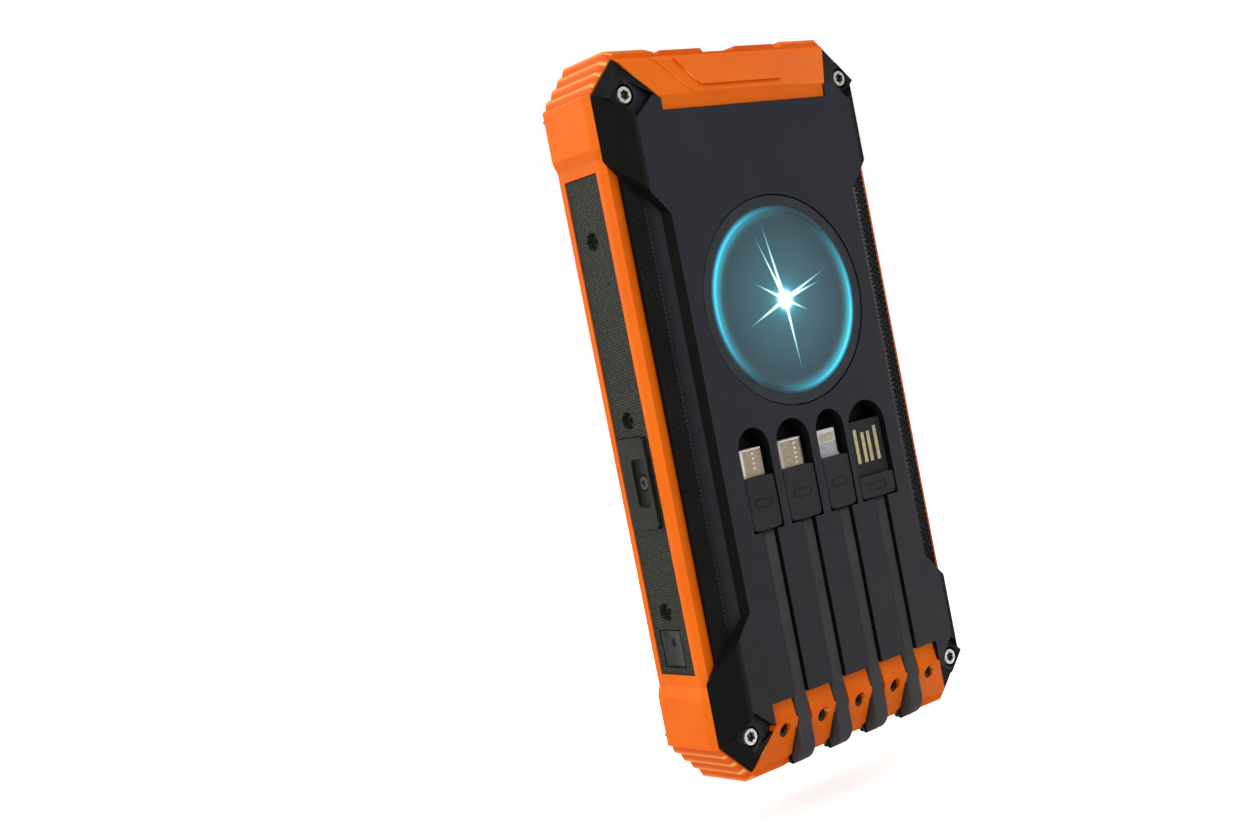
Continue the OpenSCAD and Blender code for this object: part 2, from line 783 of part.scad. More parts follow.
module strip_screws() color([0.55, 0.55, 0.57]) place()
    both_sides() {
        for (z = strip_screw_z)
            translate([boss_x + boss_floor + 0.8, button_y, z]) rotate(90)
                screw(1.6, 0.8, 1.1, 2.5);
        translate([rail_x + 0.1, plate_screw_y, plate_screw_z]) rotate(90)
            screw(1.6, 0.6, 0.9, 0.5);
    }

module corner_screws() color([0.80, 0.80, 0.80]) place()
    for (sx = sides, sz = sides)
        translate([sx * screw_x, screw_y, sz * screw_z]) screw(1.9, screw_sink, 1.15, 12);

bumper_screw_x = [-25.4, -12.7, 0, 12.7, 25.4];
bumper_screw_z = -76.6;

module bumper_screws() color([0.45, 0.42, 0.40]) place()
    for (x = bumper_screw_x)
        translate([x, 2.3, bumper_screw_z]) screw(1.65, 0.8, 0.4, 0.3);

// ---------- buttons ----------

module push_button() {
    hy = button_w / 2;
    hz = button_l / 2;
    y = button_y;
    dish = 0.3;             // depth of the hollow in its face
    dish_r = (hy * hy + dish * dish) / (2 * dish);
    difference() {
        block([cav_x + 0.2, y - hy, button_z - hz], [rail_x - 0.3, y + hy, button_z + hz]);
        block([cav_x - 1, y - hy + 1.2, button_z - hz + 1.2],
              [rail_x - 1.8, y + hy - 1.2, button_z + hz - 1.2]);
        translate([rail_x - 0.3 - dish + dish_r, y, button_z - hz - 1])
            cylinder(h = button_l + 2, r = dish_r, $fn = 180);
    }
    // collar that keeps the button in, and the plunger
    difference() {
        block([cav_x - 0.8, y - hy - 0.8, button_z - hz - 0.8],
              [cav_x - 0.15, y + hy + 0.8, button_z + hz + 0.8]);
        block([cav_x - 1, y - hy + 1.2, button_z - hz + 1.2],
              [cav_x + 1, y + hy - 1.2, button_z + hz - 1.2]);
    }
    block([cav_x - 0.3, y - hy, button_z - hz], [cav_x + 0.3, y - hy + 1.2, button_z + hz]);
    block([cav_x - 0.3, y + hy - 1.2, button_z - hz], [cav_x + 0.3, y + hy, button_z + hz]);
    rod_x(y, button_z, 1.2, cav_x - 0.8, rail_x - 1.7);
}

module power_button() color([0.17, 0.17, 0.17]) place() mirror([1, 0, 0]) push_button();

module torch_button() color([0.17, 0.17, 0.17]) place() push_button();

module tact_switches() color([0.70, 0.70, 0.70]) place()
    both_sides() {
        block([cav_x - 3.4, button_y - 2.2, button_z - 2.2],
              [cav_x - 2.2, button_y + 2.2, button_z + 2.2]);
        rod_x(button_y, button_z, 1, cav_x - 2.2, cav_x - 0.9 - button_travel);
    }

module button_boards() color([0.06, 0.30, 0.16]) place()
    both_sides()
        block([cav_x - 4.4, button_y - 4, button_z - 6], [cav_x - 3.4, button_y + 4, button_z + 6]);

// ---------- port cover ----------

module port_cover() color([0.15, 0.16, 0.17]) place() {
    hinge_y = flap_y0 + 0.7;
    z0 = -end_z + 0.1;
    z1 = -end_z + 1.8;
    hinge_z = (z0 + z1) / 2;
    rod_x(hinge_y, hinge_z, 0.7, -flap_x, flap_x);
    run_z(z0, z1)
        polygon([[-flap_x, hinge_y], [flap_x, hinge_y], [flap_x, flap_y1 - 0.8],
                 [flap_x - 0.8, flap_y1], [-flap_x + 0.8, flap_y1],
                 [-flap_x, flap_y1 - 0.8]]);
    // thumb tab
    run_z(z0 - 0.25, z0 + 0.6)
        polygon([[-4.4, flap_y1 - 1], [4.4, flap_y1 - 1], [3.6, flap_y1 + 0.9],
                 [-3.6, flap_y1 + 0.9]]);
    // lips that fill the two large ports
    both_sides()
        block([port_x - 5.8, port_y - 0.1, z1 - 0.1],
              [port_x + 5.8, port_y + 2.2, z1 + 1.6]);
}

// ---------- cables ----------

// Square section with its corners taken off, r from its centre to each side
module cable_section(r) {
    c = 0.7 * r;
    polygon([[-r, -c], [-c, -r], [c, -r], [r, -c], [r, c], [c, r], [-c, r], [-r, c]]);
}

// Ring segment in the (y, z) plane round a cable's turning axis: angles are
// measured from +Y towards +Z
module turn_arc(i, a0, a1, r_out, r_in = 0) {
    translate([cable_x[i], turn_y, turn_z]) rotate([90, 0, 90]) rotate(a0)
        rotate_extrude(angle = a1 - a0) translate([turn_r, 0])
            difference() {
                cable_section(r_out);
                if (r_in > 0) cable_section(r_in);
            }
}

// Strain-relief boots that each cable comes out of
module cable_boots() color([0.10, 0.10, 0.11]) place()
    for (i = [0 : 3]) {
        turn_arc(i, 272, 360, boot_r, cable_r + 0.1);
        translate([cable_x[i], turn_y + turn_r, turn_z]) difference() {
            union() {
                linear_extrude(1.5) cable_section(boot_r);
                // flange behind the wall
                translate([0, 0, 0.4]) linear_extrude(0.9) translate([-flange_r, 0])
                    square([2 * flange_r, flange_r]);
            }
            translate([0, 0, -1]) linear_extrude(5) cable_section(cable_r + 0.1);
        }
    }

// Leads from the boots to the main board
module cable_leads() color([0.55, 0.10, 0.10]) place()
    for (i = [0 : 3], s = sides)
        translate([cable_x[i] + s * 0.8, turn_y + turn_r, turn_z + 0.4])
            cylinder(h = 13, r = 0.55, $fn = 16);

module cable(i) {
    run_z(turn_z, head_z) translate([cable_x[i], cable_y]) cable_section(cable_r);
    turn_arc(i, 180, 270, cable_r);
}

// Overmoulded head with softened long edges
module head(i) {
    w = head_w[i] / 2;
    h = head_t / 2;
    c = 0.7;
    run_z(head_z, head_z1[i]) translate([cable_x[i], cable_y])
        polygon([[-w + c, -h], [w - c, -h], [w, -h + c], [w, h - c], [w - c, h], [-w + c, h],
                 [-w, h - c], [-w, -h + c]]);
}

module micro_usb_cable() color([0.11, 0.11, 0.12]) place() cable(0);

module usb_c_cable() color([0.11, 0.11, 0.12]) place() cable(1);

module phone_cable() color([0.11, 0.11, 0.12]) place() cable(2);

module usb_a_cable() color([0.11, 0.11, 0.12]) place() cable(3);

module micro_usb_head() color([0.12, 0.12, 0.13]) place() head(0);

module usb_c_head() color([0.12, 0.12, 0.13]) place() head(1);

module phone_head() color([0.12, 0.12, 0.13]) place() head(2);

module usb_a_head() color([0.12, 0.12, 0.13]) place() head(3);

// Micro plug: six-sided shell, wider at the back
module micro_usb_plug() color([0.75, 0.76, 0.78]) place()
    translate([cable_x[0], cable_y, 0])
        difference() {
            run_z(head_z1[0], plug_z)
                polygon([[-3.4, -0.9], [3.4, -0.9], [3.4, 0.1], [2.7, 0.9], [-2.7, 0.9],
                         [-3.4, 0.1]]);
            run_z(plug_z - 5.2, plug_z + 1)
                polygon([[-3.1, -0.6], [3.1, -0.6], [3.1, 0], [2.6, 0.6], [-2.6, 0.6],
                         [-3.1, 0]]);
        }

module usb_c_plug() color([0.75, 0.76, 0.78]) place()
    difference() {
        stadium(cable_y, 4.13, 1.22, head_z1[1], plug_z, cable_x[1]);
        stadium(cable_y, 3.75, 0.85, plug_z - 5.6, plug_z + 1, cable_x[1]);
    }

// Flat eight-contact blade with a stepped base
module phone_plug() color([0.88, 0.89, 0.90]) place()
    difference() {
        union() {
            stadium(cable_y, 3.35, 0.78, head_z1[2], plug_z, cable_x[2]);
            stadium(cable_y, 3.6, 1.1, head_z1[2], head_z1[2] + 0.6, cable_x[2]);
        }
        for (k = [0 : 7]) phone_contact(k, 0.06);
    }

module phone_contact(k, g) {
    x = cable_x[2] + (k - 3.5) * 0.62;
    block([x - 0.2 - g, cable_y - 0.83, plug_z - 2.9 - g],
          [x + 0.2 + g, cable_y - 0.6 + g, plug_z - 1 + g]);
}

module phone_contacts() color([0.85, 0.75, 0.45]) place()
    for (k = [0 : 7]) phone_contact(k, 0);

// Slim full-size plug: an open blade with a contact board
module usb_a_plug() color([0.78, 0.79, 0.81]) place()
    translate([cable_x[3], 0, 0])
        difference() {
            block([-6, cable_y - 1.2, head_z1[3]], [6, cable_y + 1.1, plug_z]);
            for (k = [0 : 3]) usb_a_contact(k, 0.05);
        }

// Outer contacts reach further towards the tip
module usb_a_contact(k, g) {
    x = [-3.5, -1, 1, 3.5][k];
    z1 = k == 0 || k == 3 ? plug_z - 2 : plug_z - 3;
    block([x - 0.55 - g, cable_y - 1.26, plug_z - 10.6 - g],
          [x + 0.55 + g, cable_y - 0.9 + g, z1 + g]);
}

module usb_a_contacts() color([0.85, 0.80, 0.60]) place()
    translate([cable_x[3], 0, 0])
        for (k = [0 : 3]) usb_a_contact(k, 0);

back_cover();
front_cover();
bumper_frame();
back_gasket();
front_gasket();
panel_board();
solar_cells();
panel_glaze();
wireless_pad();
light_ring();
charging_coil();
ferrite_sheet();
battery_cell_back();
battery_cell_front();
battery_foam();
main_board();
usb_a_ports();
usb_c_port();
led_board();
indicator_leds();
window_lens();
torch_board();
torch_leds();
torch_reflectors();
torch_lenses();
side_strip_left();
side_strip_right();
strap_plate_left();
strap_plate_right();
strip_screws();
corner_screws();
bumper_screws();
power_button();
torch_button();
button_boards();
tact_switches();
port_cover();
cable_boots();
cable_leads();
micro_usb_cable();
micro_usb_head();
micro_usb_plug();
usb_c_cable();
usb_c_head();
usb_c_plug();
phone_cable();
phone_head();
phone_plug();
phone_contacts();
usb_a_cable();
usb_a_head();
usb_a_plug();
usb_a_contacts();
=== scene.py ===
"""Looks of the solar power bank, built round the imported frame.

Millimetre values are written as mm(x). Places use the case's own depth below
its back plane (depth) and height from mid-length (up), as the part does.
"""
import json
import math

import bmesh
import bpy
from mathutils import Matrix, Vector


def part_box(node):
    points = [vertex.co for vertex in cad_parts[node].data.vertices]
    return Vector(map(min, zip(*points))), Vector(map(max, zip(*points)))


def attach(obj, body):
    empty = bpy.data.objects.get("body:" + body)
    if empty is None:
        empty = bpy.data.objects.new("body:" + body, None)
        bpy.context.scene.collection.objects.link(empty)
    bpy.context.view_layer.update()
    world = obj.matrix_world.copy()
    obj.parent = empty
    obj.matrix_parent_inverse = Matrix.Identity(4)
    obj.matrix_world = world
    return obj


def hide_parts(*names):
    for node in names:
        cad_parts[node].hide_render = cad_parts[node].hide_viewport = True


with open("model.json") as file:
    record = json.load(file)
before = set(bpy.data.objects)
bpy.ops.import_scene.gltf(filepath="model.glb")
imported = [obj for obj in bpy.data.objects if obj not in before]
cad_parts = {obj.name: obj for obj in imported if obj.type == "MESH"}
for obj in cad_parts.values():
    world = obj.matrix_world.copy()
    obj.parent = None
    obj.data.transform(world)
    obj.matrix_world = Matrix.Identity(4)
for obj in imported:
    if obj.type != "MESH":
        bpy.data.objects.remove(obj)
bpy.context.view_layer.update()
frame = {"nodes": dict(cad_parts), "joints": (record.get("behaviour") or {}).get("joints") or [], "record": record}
NODES = frame["nodes"]


def mm(v):
    return v * 0.001


# The driving sizes, from the frame
PANEL_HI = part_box("panel_glaze")[1]
PAD_LO, PAD_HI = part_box("wireless_pad")
COVER_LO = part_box("back_cover")[0]
BUMPER_LO, BUMPER_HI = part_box("bumper_frame")
CASE_BACK = COVER_LO.y
MID = (BUMPER_LO.z + BUMPER_HI.z) / 2
PAD_CENTRE = (PAD_LO + PAD_HI) / 2
CABLES = ["micro_usb", "usb_c", "phone", "usb_a"]
FLOOR_DROP = mm(14)
AMBIENT = 0.3


def at(x, depth, up):
    """A point from millimetres across, below the back plane, and above mid-length."""
    return Vector((mm(x), CASE_BACK + mm(depth), MID + mm(up)))


# ---------- camera, floor and light ----------

# Place in metres, directions of the picture's right and of the camera's back, focal length
CAMERA_PLACE = (-0.2713, -0.3033, 0.1049)
CAMERA_RIGHT = (0.7803, -0.5945, -0.1945)
CAMERA_BACK = (-0.5995, -0.7995, 0.0386)
CAMERA_LENS = 46.94


def make_camera():
    right = Vector(CAMERA_RIGHT).normalized()
    back = Vector(CAMERA_BACK).normalized()
    up = back.cross(right).normalized()
    right = up.cross(back)
    cam = bpy.data.objects.new("camera", bpy.data.cameras.new("camera"))
    bpy.context.scene.collection.objects.link(cam)
    cam.data.sensor_width = 36
    cam.data.lens = CAMERA_LENS
    cam.data.clip_start = 0.01
    turn = Matrix((right, up, back)).transposed().to_4x4()
    cam.matrix_world = Matrix.Translation(CAMERA_PLACE) @ turn
    bpy.context.scene.camera = cam


def make_floor():
    bm = bmesh.new()
    bmesh.ops.create_grid(bm, x_segments=8, y_segments=8, size=6)
    floor = add_mesh("studio_floor", bm)
    floor.location.z = BUMPER_LO.z - FLOOR_DROP
    floor.data.materials.append(plain_floor())


# Name, place in metres, width and height in metres, watts
LIGHTS = [("key", (-0.85, -0.2, 0.3), (0.35, 0.6), 2.5),
          ("top", (-0.25, 0.05, 1.0), (0.4, 0.25), 2.6),
          ("front", (0.3, -0.95, 0.3), (0.5, 0.8), 1.15),
          ("rim", (0.8, -0.1, 0.35), (0.25, 0.8), 2.4),
          ("behind", (-0.3, 0.95, 0.45), (0.7, 0.7), 4.2)]


def area_light(name, place, aim, size, power):
    data = bpy.data.lights.new(name, "AREA")
    data.shape = "RECTANGLE"
    data.size, data.size_y = size
    data.energy = power
    light = bpy.data.objects.new(name, data)
    bpy.context.scene.collection.objects.link(light)
    light.location = place
    light.rotation_euler = (Vector(aim) - Vector(place)).to_track_quat("-Z", "Y").to_euler()


def make_lights():
    for name, place, size, power in LIGHTS:
        area_light(name, place, (0, 0, MID), size, power)
    sky = bpy.data.lights.new("sky", "SUN")
    sky.energy = 0.95
    sky.angle = math.radians(40)
    sun = bpy.data.objects.new("sky", sky)
    bpy.context.scene.collection.objects.link(sun)
    sun.rotation_euler = Vector((0.45, 0.25, -0.85)).to_track_quat("-Z", "Y").to_euler()
    make_world()


def make_world():
    """Dim soft light all round, with a plain white backdrop."""
    world = bpy.data.worlds.new("studio")
    bpy.context.scene.world = world
    world.use_nodes = True
    tree = world.node_tree
    seen = tree.nodes.new("ShaderNodeLightPath").outputs["Is Camera Ray"]
    level = tree.nodes.new("ShaderNodeMapRange")
    tree.links.new(seen, level.inputs["Value"])
    level.inputs["To Min"].default_value = AMBIENT
    level.inputs["To Max"].default_value = 0.992
    ground = tree.nodes["Background"]
    ground.inputs["Color"].default_value = (1, 1, 1, 1)
    tree.links.new(level.outputs[0], ground.inputs["Strength"])


# ---------- mesh helpers ----------

def add_mesh(name, bm, smooth=False):
    bmesh.ops.recalc_face_normals(bm, faces=bm.faces)
    data = bpy.data.meshes.new(name)
    bm.to_mesh(data)
    bm.free()
    obj = bpy.data.objects.new(name, data)
    bpy.context.scene.collection.objects.link(obj)
    if smooth:
        data.shade_smooth()
    return obj


def piece(name, bm, body, material, replaces=(), smooth=False):
    obj = add_mesh(name, bm, smooth)
    obj.data.materials.append(material)
    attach(obj, body)
    if replaces:
        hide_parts(*replaces)
    return obj


def modifier(obj, kind, **values):
    m = obj.modifiers.new(kind.lower(), kind)
    for key, value in values.items():
        setattr(m, key, value)
    return m


def bevel(obj, width, segments=2, angle=30):
    return modifier(obj, "BEVEL", width=mm(width), segments=segments, limit_method="ANGLE",
                    angle_limit=math.radians(angle), harden_normals=True,
                    use_clamp_overlap=True, miter_outer="MITER_ARC")


def soften(node, width, segments=2, angle=28):
    """Rounds the sharp edges of a CAD node without touching its mesh."""
    obj = NODES[node]
    modifier(obj, "WELD", merge_threshold=mm(0.003))
    modifier(obj, "DECIMATE", decimate_type="DISSOLVE", angle_limit=math.radians(0.6))
    bevel(obj, width, segments, angle)


def prism(bm, outline, base, top):
    """A closed prism between two copies of a ring of points."""
    low = [bm.verts.new(base(p)) for p in outline]
    high = [bm.verts.new(top(p)) for p in outline]
    n = len(outline)
    for i in range(n):
        j = (i + 1) % n
        bm.faces.new((low[i], low[j], high[j], high[i]))
    bm.faces.new(low[::-1])
    bm.faces.new(high)


def box(bm, lo, hi):
    corners = [(lo.x, lo.z), (hi.x, lo.z), (hi.x, hi.z), (lo.x, hi.z)]
    prism(bm, corners, lambda p: (p[0], lo.y, p[1]), lambda p: (p[0], hi.y, p[1]))


def sweep(bm, rings, closed_ends=True):
    """Skins a list of rings, each a list of points with the same count."""
    made = [[bm.verts.new(p) for p in ring] for ring in rings]
    n = len(made[0])
    for a, b in zip(made, made[1:]):
        for i in range(n):
            j = (i + 1) % n
            bm.faces.new((a[i], a[j], b[j], b[i]))
    if closed_ends:
        bm.faces.new(made[0][::-1])
        bm.faces.new(made[-1])


# ---------- material helpers ----------

class Nodes:
    """A short way to write a material's node tree."""

    def __init__(self, name):
        self.material = bpy.data.materials.new(name)
        self.material.use_nodes = True
        self.tree = self.material.node_tree
        self.shader = self.tree.nodes["Principled BSDF"]
        self.place = self.add("ShaderNodeTexCoord").outputs["Object"]

    def add(self, kind, **values):
        node = self.tree.nodes.new(kind)
        for key, value in values.items():
            setattr(node, key, value)
        return node

    def normal(self):
        """Where the surface faces, in the object's own axes, as x, y, z."""
        node = self.add("ShaderNodeSeparateXYZ")
        self.put(node.inputs[0], self.add("ShaderNodeTexCoord").outputs["Normal"])
        return node.outputs[0], node.outputs[1], node.outputs[2]

    def put(self, socket, value):
        if isinstance(value, bpy.types.NodeSocket):
            self.tree.links.new(value, socket)
        elif isinstance(value, tuple) and len(value) == 3 and socket.type == "RGBA":
            socket.default_value = (*value, 1)
        else:
            socket.default_value = value

    def set(self, **values):
        for key, value in values.items():
            self.put(self.shader.inputs[key.replace("_", " ")], value)
        return self

    def math(self, op, a, b=None, c=None, clamp=False):
        node = self.add("ShaderNodeMath", operation=op, use_clamp=clamp)
        for i, v in enumerate((a, b, c)):
            if v is not None:
                self.put(node.inputs[i], v)
        return node.outputs[0]

    def remap(self, value, a, b, c=0.0, d=1.0):
        node = self.add("ShaderNodeMapRange")
        for i, v in enumerate((value, a, b, c, d)):
            self.put(node.inputs[i], v)
        return node.outputs[0]

    def mix(self, share, a, b):
        node = self.add("ShaderNodeMix", data_type="RGBA")
        self.put(node.inputs[0], share)
        self.put(node.inputs[6], a)
        self.put(node.inputs[7], b)
        return node.outputs[2]

    def mix_value(self, share, a, b):
        node = self.add("ShaderNodeMix", data_type="FLOAT")
        self.put(node.inputs[0], share)
        self.put(node.inputs[2], a)
        self.put(node.inputs[3], b)
        return node.outputs[0]

    def noise(self, size, detail=2.0):
        """Noise whose features are about size millimetres across."""
        node = self.add("ShaderNodeTexNoise")
        self.put(node.inputs["Vector"], self.place)
        node.inputs["Scale"].default_value = 1000 / size
        node.inputs["Detail"].default_value = detail
        return node.outputs[0]

    def cells(self, size, feature):
        node = self.add("ShaderNodeTexVoronoi", feature=feature)
        self.put(node.inputs["Vector"], self.place)
        node.inputs["Scale"].default_value = 1000 / size
        return node.outputs["Distance"]

    def axes(self):
        node = self.add("ShaderNodeSeparateXYZ")
        self.put(node.inputs[0], self.place)
        return node.outputs[0], node.outputs[1], node.outputs[2]

    def bump(self, height, depth):
        """Bump of that depth in millimetres."""
        node = self.add("ShaderNodeBump")
        self.put(node.inputs["Height"], height)
        node.inputs["Distance"].default_value = mm(depth)
        node.inputs["Strength"].default_value = 1.0
        self.put(self.shader.inputs["Normal"], node.outputs[0])
        return self


def linear(r, g, b):
    """Linear colour from display values out of 255."""
    def one(v):
        v /= 255
        return v / 12.92 if v <= 0.04045 else ((v + 0.055) / 1.055) ** 2.4
    return one(r), one(g), one(b)


def moulded(name, dark, light, rough, grain=0.25, depth=0.02, coat=0.0, metal=0.0, blotch=14.0,
            shine=0.25):
    """Moulded plastic or rubber: soft blotches of colour, a fine grain, uneven gloss."""
    m = Nodes(name)
    broad = m.remap(m.noise(blotch, 3), 0.35, 0.65)
    fine = m.noise(grain, 2)
    m.set(Base_Color=m.mix(broad, dark, light), Metallic=metal, Coat_Weight=coat,
          Roughness=m.remap(m.noise(blotch / 3, 4), 0.3, 0.7, rough - 0.05, rough + 0.05),
          Specular_IOR_Level=shine)
    m.bump(fine, depth)
    return m.material


def plain_floor():
    m = Nodes("studio_floor")
    seen = m.add("ShaderNodeLightPath").outputs["Is Camera Ray"]
    m.set(Base_Color=m.mix(m.noise(300), (0.79, 0.79, 0.79), (0.81, 0.81, 0.81)), Roughness=0.8,
          Emission_Color=(1, 1, 1, 1), Emission_Strength=m.math("MULTIPLY", seen, 0.6))
    return m.material


make_camera()
make_floor()
make_lights()

# ---------- materials of the case ----------

def back_shell():
    """Satin charcoal with painted light: bluer near the torch end, lighter towards the lower right. Painted shade
    makes it almost black on the bevels and in the wells; the studded outer half of each side recess is as dark.
    """
    m = Nodes("back_shell")
    x, y, z = m.axes()
    flat = m.remap(m.math("ABSOLUTE", m.normal()[1]), 0.86, 0.985)
    side = m.remap(m.math("ABSOLUTE", x), mm(34.3), mm(35.2), 1, 0)
    shallow = m.remap(y, CASE_BACK + mm(2.8), CASE_BACK + mm(3.6), 1, 0.15)
    # painted light: the face is bluer towards the torch end and lighter, greyer towards the lower right
    along = m.remap(z, MID - mm(70), MID + mm(60))
    right = m.remap(x, -mm(28), mm(36))
    low = m.mix(right, linear(42, 42, 44), linear(52, 51, 52))
    face = m.mix(along, low, linear(41, 41, 51))
    worn = m.mix(m.remap(m.noise(9, 4), 0.4, 0.7), face, linear(44, 44, 52))
    # painted shade: the bevels (not flat) and the wells (deeper than about 3 mm) are coloured almost black; the
    # studded outer half of each side recess (side) is darkened the same way
    face_not_painted_dark = m.math("MULTIPLY", m.math("MULTIPLY", flat, side), shallow)
    m.set(Base_Color=m.mix(face_not_painted_dark, linear(9, 9, 8), worn),
          Roughness=m.mix_value(flat, 0.6, m.remap(m.noise(4, 4), 0.3, 0.7, 0.36, 0.46)),
          Specular_IOR_Level=m.remap(flat, 0, 1, 0.1, 0.16))
    return m.bump(m.noise(0.28, 2), 0.018).material


def front_shell():
    return moulded("front_shell", linear(30, 30, 31), linear(40, 40, 42), 0.42, depth=0.02)


def grip_plastic():
    """Near-black plastic of the studded side grips."""
    return moulded("grip", linear(22, 22, 21), linear(31, 31, 30), 0.75, depth=0.02, shine=0.05)


RIB_FOOT = (43.0, 76.8)              # across and above mid-length, where the corner ribs begin
RIB_END = (34.4, 87.0)
RIB_COUNT = 4
RIB_VALLEY = 0.62                    # share of a rib's pitch at its lowest line


def rib_share(m):
    """0 to 1 along the ribbed corners."""
    x, _, z = m.axes()
    run, rise = RIB_END[0] - RIB_FOOT[0], RIB_END[1] - RIB_FOOT[1]
    square = (run * run + rise * rise) / 1000
    across = m.math("SUBTRACT", m.math("ABSOLUTE", x), mm(RIB_FOOT[0]))
    up = m.math("SUBTRACT", m.math("ABSOLUTE", m.math("SUBTRACT", z, MID)), mm(RIB_FOOT[1]))
    return m.math("ADD", m.math("MULTIPLY", across, run / square),
                  m.math("MULTIPLY", up, rise / square))


def rib_painted_light(m):
    """Masks for the painted shade in the valleys and the painted highlight on the crests of the corner ribs."""
    x, _, z = m.normal()
    slanted = m.math("MULTIPLY", m.remap(m.math("ABSOLUTE", x), 0.12, 0.2),
                     m.remap(m.math("ABSOLUTE", z), 0.12, 0.2))
    share = rib_share(m)
    on_ribs = m.math("MULTIPLY", slanted, m.math("GREATER_THAN", share, 0.0))
    phase = m.math("FRACT", m.math("MULTIPLY", share, RIB_COUNT))
    from_valley = m.math("ABSOLUTE", m.math("SUBTRACT", phase, RIB_VALLEY))
    # painted shade: darkest along a rib's lowest line
    low = m.math("MULTIPLY", on_ribs, m.remap(m.math("SUBTRACT", 1.0, from_valley), 0.62, 0.85))
    from_middle = m.math("ABSOLUTE", m.math("SUBTRACT", phase, 0.5))
    from_crest = m.math("ABSOLUTE", m.math("SUBTRACT", from_middle, 0.5))
    # painted highlight: lightest along a rib's crest
    high = m.math("MULTIPLY", on_ribs, m.remap(from_crest, 0.05, 0.22, 1, 0))
    return low, high


def bumper_rubber():
    """Orange elastomer with a faint bloom and a fine skin, with painted shade in the valleys and a painted
    highlight on the crests of the corner ribs.
    """
    m = Nodes("bumper")
    broad = m.remap(m.noise(26, 3), 0.3, 0.7)
    base = m.mix(broad, linear(230, 98, 1), linear(238, 110, 4))
    low, high = rib_painted_light(m)
    # painted shade in the rib valleys, then a painted highlight on the rib crests
    base = m.mix(low, base, linear(214, 82, 0))
    base = m.mix(high, base, linear(255, 176, 92))
    speck = m.remap(m.noise(1.2, 4), 0.62, 0.78)
    m.set(Base_Color=m.mix(m.math("MULTIPLY", speck, 0.18), base, linear(246, 138, 40)),
          Roughness=m.remap(m.noise(3, 3), 0.3, 0.7, 0.4, 0.52), Specular_IOR_Level=0.13)
    return m.bump(m.noise(0.35, 3), 0.025).material


def woven_strip():
    """Dark olive strip with a fine slanting leather weave."""
    m = Nodes("strip")
    _, y, z = m.axes()
    slant = m.math("ADD", m.math("MULTIPLY", z, 0.9), y)
    across = m.math("SUBTRACT", m.math("MULTIPLY", z, 0.9), y)

    def thread(v, pitch):
        return m.math("SINE", m.math("MULTIPLY", v, 2 * math.pi / mm(pitch)))
    weave = m.math("MULTIPLY", thread(slant, 1.1), thread(across, 1.4))
    rough = m.math("ADD", m.math("MULTIPLY", weave, 0.6), m.math("MULTIPLY", m.noise(0.8, 3), 1.9))
    tone = m.remap(rough, 0.35, 1.5)
    m.set(Base_Color=m.mix(tone, linear(7, 8, 5), linear(56, 57, 48)),
          Roughness=0.6, Specular_IOR_Level=0.2)
    return m.bump(rough, 0.1).material


CELLS_IN_ROW = 10
CELL_GAP = 0.4                       # between two cells of a row
ROW_MIDDLE = 16.1                    # across, middle of a row of cells
ROW_HALF = 14.3


def panel_face():
    """Slate panel: cells a shade lighter than the board between them, under a clear gloss coat."""
    m = Nodes("glaze")
    x, _, z = m.axes()
    cells_lo, cells_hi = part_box("solar_cells")
    pitch = (cells_hi.z - cells_lo.z + mm(CELL_GAP)) / CELLS_IN_ROW
    row = m.math("ABSOLUTE", m.math("SUBTRACT", m.math("ABSOLUTE", x), mm(ROW_MIDDLE)))
    in_row = m.remap(row, mm(ROW_HALF), mm(ROW_HALF + 0.15), 1, 0)
    step = m.math("PINGPONG", m.math("SUBTRACT", z, cells_lo.z - mm(CELL_GAP / 2)), pitch / 2)
    in_cell = m.remap(step, mm(0.15), mm(0.3))
    cell = m.math("MULTIPLY", in_row, in_cell)
    grain = m.remap(m.noise(2.5, 4), 0.3, 0.7)
    silicon = m.mix(grain, linear(27, 34, 47), linear(38, 46, 62))
    board = m.mix(grain, linear(17, 20, 27), linear(25, 28, 36))
    m.set(Base_Color=m.mix(cell, board, silicon), Metallic=0.15, Coat_Weight=0.4,
          Coat_Roughness=0.16, Specular_IOR_Level=0.3,
          Roughness=m.remap(m.noise(6, 3), 0.3, 0.7, 0.38, 0.48))
    return m.bump(m.noise(1.4, 3), 0.012).material


def metal(name, dark, light, rough):
    """Plain metal with a fine mottle."""
    m = Nodes(name)
    streak = m.noise(0.8, 3)
    m.set(Base_Color=m.mix(m.remap(streak, 0.3, 0.7), dark, light), Metallic=1.0,
          Roughness=m.remap(streak, 0.3, 0.7, rough - 0.05, rough + 0.06))
    return m.bump(streak, 0.006).material


# ---------- the lit pad ----------

def polar(m):
    """Across, up, distance from the pad's centre."""
    x, _, z = m.axes()
    dx = m.math("SUBTRACT", x, PAD_CENTRE.x)
    dz = m.math("SUBTRACT", z, PAD_CENTRE.z)
    r = m.math("SQRT", m.math("ADD", m.math("MULTIPLY", dx, dx), m.math("MULTIPLY", dz, dz)))
    return dx, dz, r


def towards(m, dx, dz, angle):
    a = math.radians(angle)
    return m.math("ADD", m.math("MULTIPLY", dx, math.cos(a)), m.math("MULTIPLY", dz, math.sin(a)))


def bell(m, value, width):
    ratio = m.math("DIVIDE", value, width)
    return m.math("EXPONENT", m.math("MULTIPLY", m.math("MULTIPLY", ratio, ratio), -1.0))


HEAD_R = 1.9                                             # head of a corner screw
GLOW_SIDES = [(160, -0.35, 0.9), (-32, -0.55, 1.0)]      # angle, offset from the ring, strength
RING_R = (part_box("light_ring")[1].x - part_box("light_ring")[0].x) / 2 - mm(0.65)


def side_glow(m, dx, dz, r, angle, power):
    """1 towards that angle, falling to 0 a quarter turn away."""
    share = m.math("DIVIDE", towards(m, dx, dz, angle), m.math("ADD", r, mm(0.1)))
    return m.math("POWER", m.math("MAXIMUM", share, 0.0), power)


